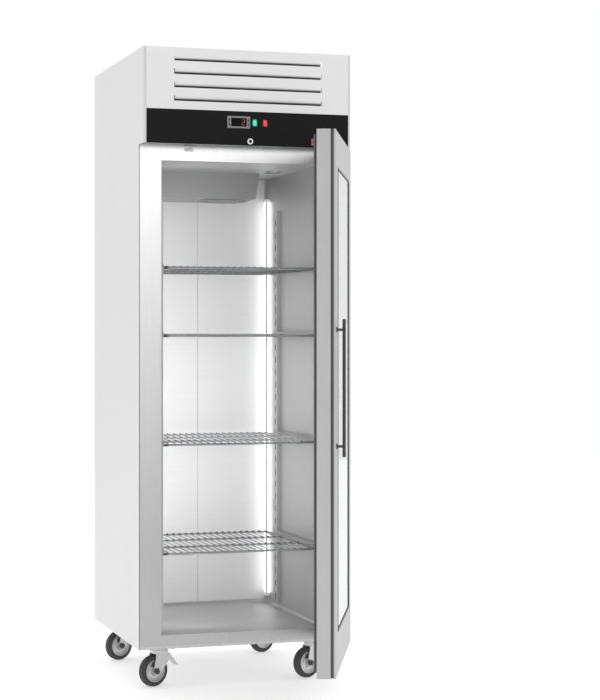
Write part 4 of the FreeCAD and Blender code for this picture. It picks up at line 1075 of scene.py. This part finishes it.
def jewel(name, x, dark, bright, strength):
    """A lens lit by a small lamp behind its middle: brightness falls off with distance from it."""
    finish = Finish(name, Roughness=0.22, Emission_Strength=strength, Coat_Weight=0.5)
    scale = (66.0, 60.0, 50.0)
    lamp_at = (x * 0.001, (FACE - 2.0) * 0.001, CONTROL_Z * 0.001)
    centre = [-place * stretch for place, stretch in zip(lamp_at, scale)]
    where = finish.node("ShaderNodeTexCoord", output="Object")
    near = finish.node("ShaderNodeMapping", {"vector_type": "POINT"},
                       {"Vector": where, "Location": centre, "Scale": scale})
    glow = finish.node("ShaderNodeTexGradient", {"gradient_type": "SPHERICAL"}, {"Vector": near}, "Fac")
    grain = finish.noise(finish.place(), 900.0, 1.0)
    mask = glow + (grain - 0.5) * 0.15
    finish.feed(Base_Color=finish.shade(mask, dark, scaled(bright, 0.6)))
    finish.feed(Emission_Color=finish.shade(mask, dark, bright))
    return finish.material


for rocker_name, lens, dark, bright in (
        ("power_rocker", "green_lens", (0.0, 0.05, 0.03), (0.10, 1.0, 0.60)),
        ("light_rocker", "red_lens", (0.10, 0.0, 0.004), (1.0, 0.06, 0.09))):
    rocker_x = centre_of(rocker_name, 0)
    lit = jewel(f"{rocker_name}_jewel", rocker_x, dark, bright, 0.40)
    rocker = make_piece(f"{rocker_name}_lens", rocker_surface(rocker_x), rocker_name, lens, lit, 50.0)
    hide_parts(rocker_name)

# %% [markdown]
# ### Badge and lock ring
#
# The panel has a small enamelled badge, left blank here, and a polished ring round the lock. The badge
# is a block with rounded edges under a clear coat. The ring is a closed profile turned about the
# lock's axis.

# %% Badge and ring
badge_finish = coated("badge_enamel", (0.42, 0.02, 0.035), 0.22, 0.003, 0.00001, 0.1,
                      Coat_Weight=0.6)
badge = block(206.0, 229.0, FACE - 1.6, FACE, 1717.0, 1739.0)
bevelled(make_piece("blank_badge", badge, "cabinet", "red_lens", badge_finish), 0.6, 3)
lock_ring_profile = [(0.0, 9.6), (1.6, 9.6), (2.6, 8.8), (2.9, 7.2), (2.6, 5.2), (1.4, 4.4), (0.0, 4.4)]
lock_place = (centre_of("lock_barrel", 0), FACE, centre_of("lock_barrel", 2))
lock_ring = turned(lock_ring_profile, lock_place, (0.0, -1.0, 0.0), 48, True)
make_piece("lock_ring", lock_ring, "cabinet", "chrome", finishes["bright_steel"])

# %% [markdown]
# ## Screws
#
# Small fixings tell the eye how large the cabinet is. A screw is a turned washer with a six-sided
# head, which is the same turned surface with only six sides. One screw is made and then repeated,
# so a whole row is a single piece.


# %% Screws
def screws(places, axis):
    """Washer-faced hexagon heads at the places, standing 3.4 mm off the sheet along the axis."""
    places = np.asarray(places, float)
    washer = turned([(0.0, 0.0), (0.0, 6.0), (0.7, 6.0), (1.0, 5.4), (1.0, 0.0)], (0, 0, 0), axis, 20)
    head = turned([(0.9, 0.0), (0.9, 4.3), (3.0, 4.3), (3.4, 3.6), (3.4, 0.0)], (0, 0, 0), axis, 6)
    return repeated(together(washer, head), places)


BASE_FACE = 128.0
base_screws = [(x, y, BASE_FACE) for x in (-320.0, 0.0, 320.0) for y in (-280.0, 0.0, 350.0)]
cover_screws = [(x, y, COVER_LOW) for x in (-222.0, 142.0) for y in (88.0, 302.0)]
make_piece("base_screws", screws(base_screws, (0, 0, -1)), "cabinet", "zinc")
make_piece("cover_screws", screws(cover_screws, (0, 0, -1)), "cabinet", "zinc")


# %% [markdown]
# ## Coves
#
# The liner's joints are rounded by a cove, so that they can be wiped clean, and it catches a
# bright line of light. It could be a bevel on the liner, but the liner isn't changed here. A slim
# quarter round laid into each corner gives the same curve.


# %% Coves
def cove(start, end, first, second, radius=9.0):
    """A hollow quarter round along an inside corner: the corner, then an arc whose point at angle
    a lies at radius * ((1 - sin a) * first + (1 - cos a) * second)."""
    angle = np.linspace(0.0, np.pi / 2, 8)
    first, second = np.asarray(first, float), np.asarray(second, float)
    arc = radius * ((1 - np.sin(angle))[:, None] * first + (1 - np.cos(angle))[:, None] * second)
    outline = np.asarray(start, float) + np.concatenate([np.zeros((1, 3)), arc])
    return pushed(outline, np.asarray(end, float) - np.asarray(start, float), outline[0])


LOW, HIGH, FRONT, BACK = 170.0, 1663.0, -303.0, 325.0
coves = together(
    cove((WALL, FRONT, LOW), (WALL, BACK, LOW), (-1, 0, 0), (0, 0, 1)),
    cove((-WALL, FRONT, LOW), (-WALL, BACK, LOW), (1, 0, 0), (0, 0, 1)),
    cove((-WALL, BACK, LOW), (WALL, BACK, LOW), (0, -1, 0), (0, 0, 1)),
    cove((WALL, BACK, LOW), (WALL, BACK, HIGH), (-1, 0, 0), (0, -1, 0)),
    cove((-WALL, BACK, LOW), (-WALL, BACK, HIGH), (1, 0, 0), (0, -1, 0)))
make_piece("liner_coves", coves, "cabinet", "stainless_inner", smooth=50.0)

# %% [markdown]
# ### The lining at the back
#
# The back of the cavity is lined with two sheets that meet at an upright seam, just right of the
# middle. Their steel is a lighter, more diffuse copy of the liner's steel: painted light, for the
# brighter light on the back wall. Each is a thin block whose edges are rounded, with a narrow gap
# left between them, so the seam is a real shadow.

# %% Back lining
SEAM, HALF_GAP, SHEET, COVE_RADIUS = 16.0, 0.8, 1.2, 9.0
lining = together(*[block(x0, x1, BACK - SHEET, BACK, LOW + COVE_RADIUS, HIGH - 2.0)
                    for x0, x1 in ((COVE_RADIUS - WALL, SEAM - HALF_GAP),
                                   (SEAM + HALF_GAP, WALL - COVE_RADIUS))])
# The lining's lighter steel is painted light on the back wall.
bevelled(make_piece("back_lining", lining, "cabinet", "stainless_inner", lining_painted_light), 0.4)

# %% [markdown]
# ### Dark slots: painted shadow
#
# The shelf rails, or pilasters, are hollow, so on the real cabinet their slots look black with
# shade. The light here would show the wall through them. A black strip just behind each slotted
# face keeps them dark: a painted shadow, a dark sheet where the real channel holds only shade.

# %% Black strips behind the slots, as painted shadow
PILASTER_Y = (-265.0, 175.0)
PILASTER_FACE = edge("pilasters", 1, 0) - 12.0
strip_low, strip_high = edge("pilasters", 0, 2) + 2.0, edge("pilasters", 1, 2) - 2.0
slot_shadow_strips = together(*[block(*sorted((side * (PILASTER_FACE + 1.3), side * (PILASTER_FACE + 1.8))),
                              y - 9.0, y + 9.0, strip_low, strip_high)
                        for side in (-1, 1) for y in PILASTER_Y])
# Black strips standing in for the shade inside the hollow pilasters: painted shadow.
make_piece("slot_shadow_strips", slot_shadow_strips, "cabinet", "black_plastic", finishes["window_black"])

# %% [markdown]
# ### Door switch guard
#
# A white plastic guard shields the door switch under the head of the frame. It is three plain
# blocks, and rounded edges make them look moulded.

# %% Door switch guard
switch_guard = together(block(-194.0, -190.0, -318.0, -311.0, 1693.0, 1709.5),
                        block(-190.0, -175.0, -318.0, -311.0, 1705.0, 1709.5),
                        block(-175.0, -166.0, -318.5, -311.0, 1692.5, 1709.5))
bevelled(make_piece("door_switch_guard", switch_guard, "cabinet", "white_plastic"), 1.0)

# %% [markdown]
# ### Ceiling clips
#
# Two grey clips hold the temperature probe to the ceiling. Each clip is a pushed outline, and the
# probe is a short bent bar between them.

# %% Ceiling clips
clip_profile = [(-7.0, 0.0), (-7.0, -3.0), (-5.0, -4.5), (5.0, -4.5), (7.0, -3.0), (7.0, 0.0)]
clip = pushed([(x, 4.0, z) for x, z in clip_profile], (0.0, 8.0, 0.0))
probe = bar([(-26.0, 8.0, -7.0), (-12.0, 8.0, -7.5), (14.0, 8.0, -7.5), (24.0, 8.0, -5.0),
             (34.0, 8.0, -1.0)], 2.6)
CLIP_Y = -32.0
clips = together(moved(clip, (170.0, CLIP_Y, HIGH)), moved(clip, (208.0, CLIP_Y, HIGH)),
                 moved(probe, (182.0, CLIP_Y, HIGH)))
make_piece("probe_clips", clips, "cabinet", "grey_plastic", smooth=50.0)

# %% [markdown]
# ## The floor
#
# The cabinet stands on a pale floor that is part of the studio and not of the cabinet. One large
# square is enough. It glows faintly, so that it runs into the white backdrop and still takes the
# soft shadow of the casters.

# %% Floor
REACH = 9.0
floor_corners = [(x * REACH, y * REACH, 0.0) for x, y in ((-1, -1), (1, -1), (1, 1), (-1, 1))]
floor_mesh = bpy.data.meshes.new("studio_floor")
floor_mesh.from_pydata(floor_corners, [], [(0, 1, 2, 3)])
studio_floor = bpy.data.objects.new("studio_floor", floor_mesh)
scene.collection.objects.link(studio_floor)
floor_finish = coated("pale_floor", grey(0.84), 0.92, 0.004, 0.00001, 0.01, Specular_IOR_Level=0.1,
                      Emission_Color=(1.0, 1.0, 1.0, 1.0), Emission_Strength=0.42)
floor_mesh.materials.append(floor_finish)
print("the floor is", 2 * REACH, "m across")
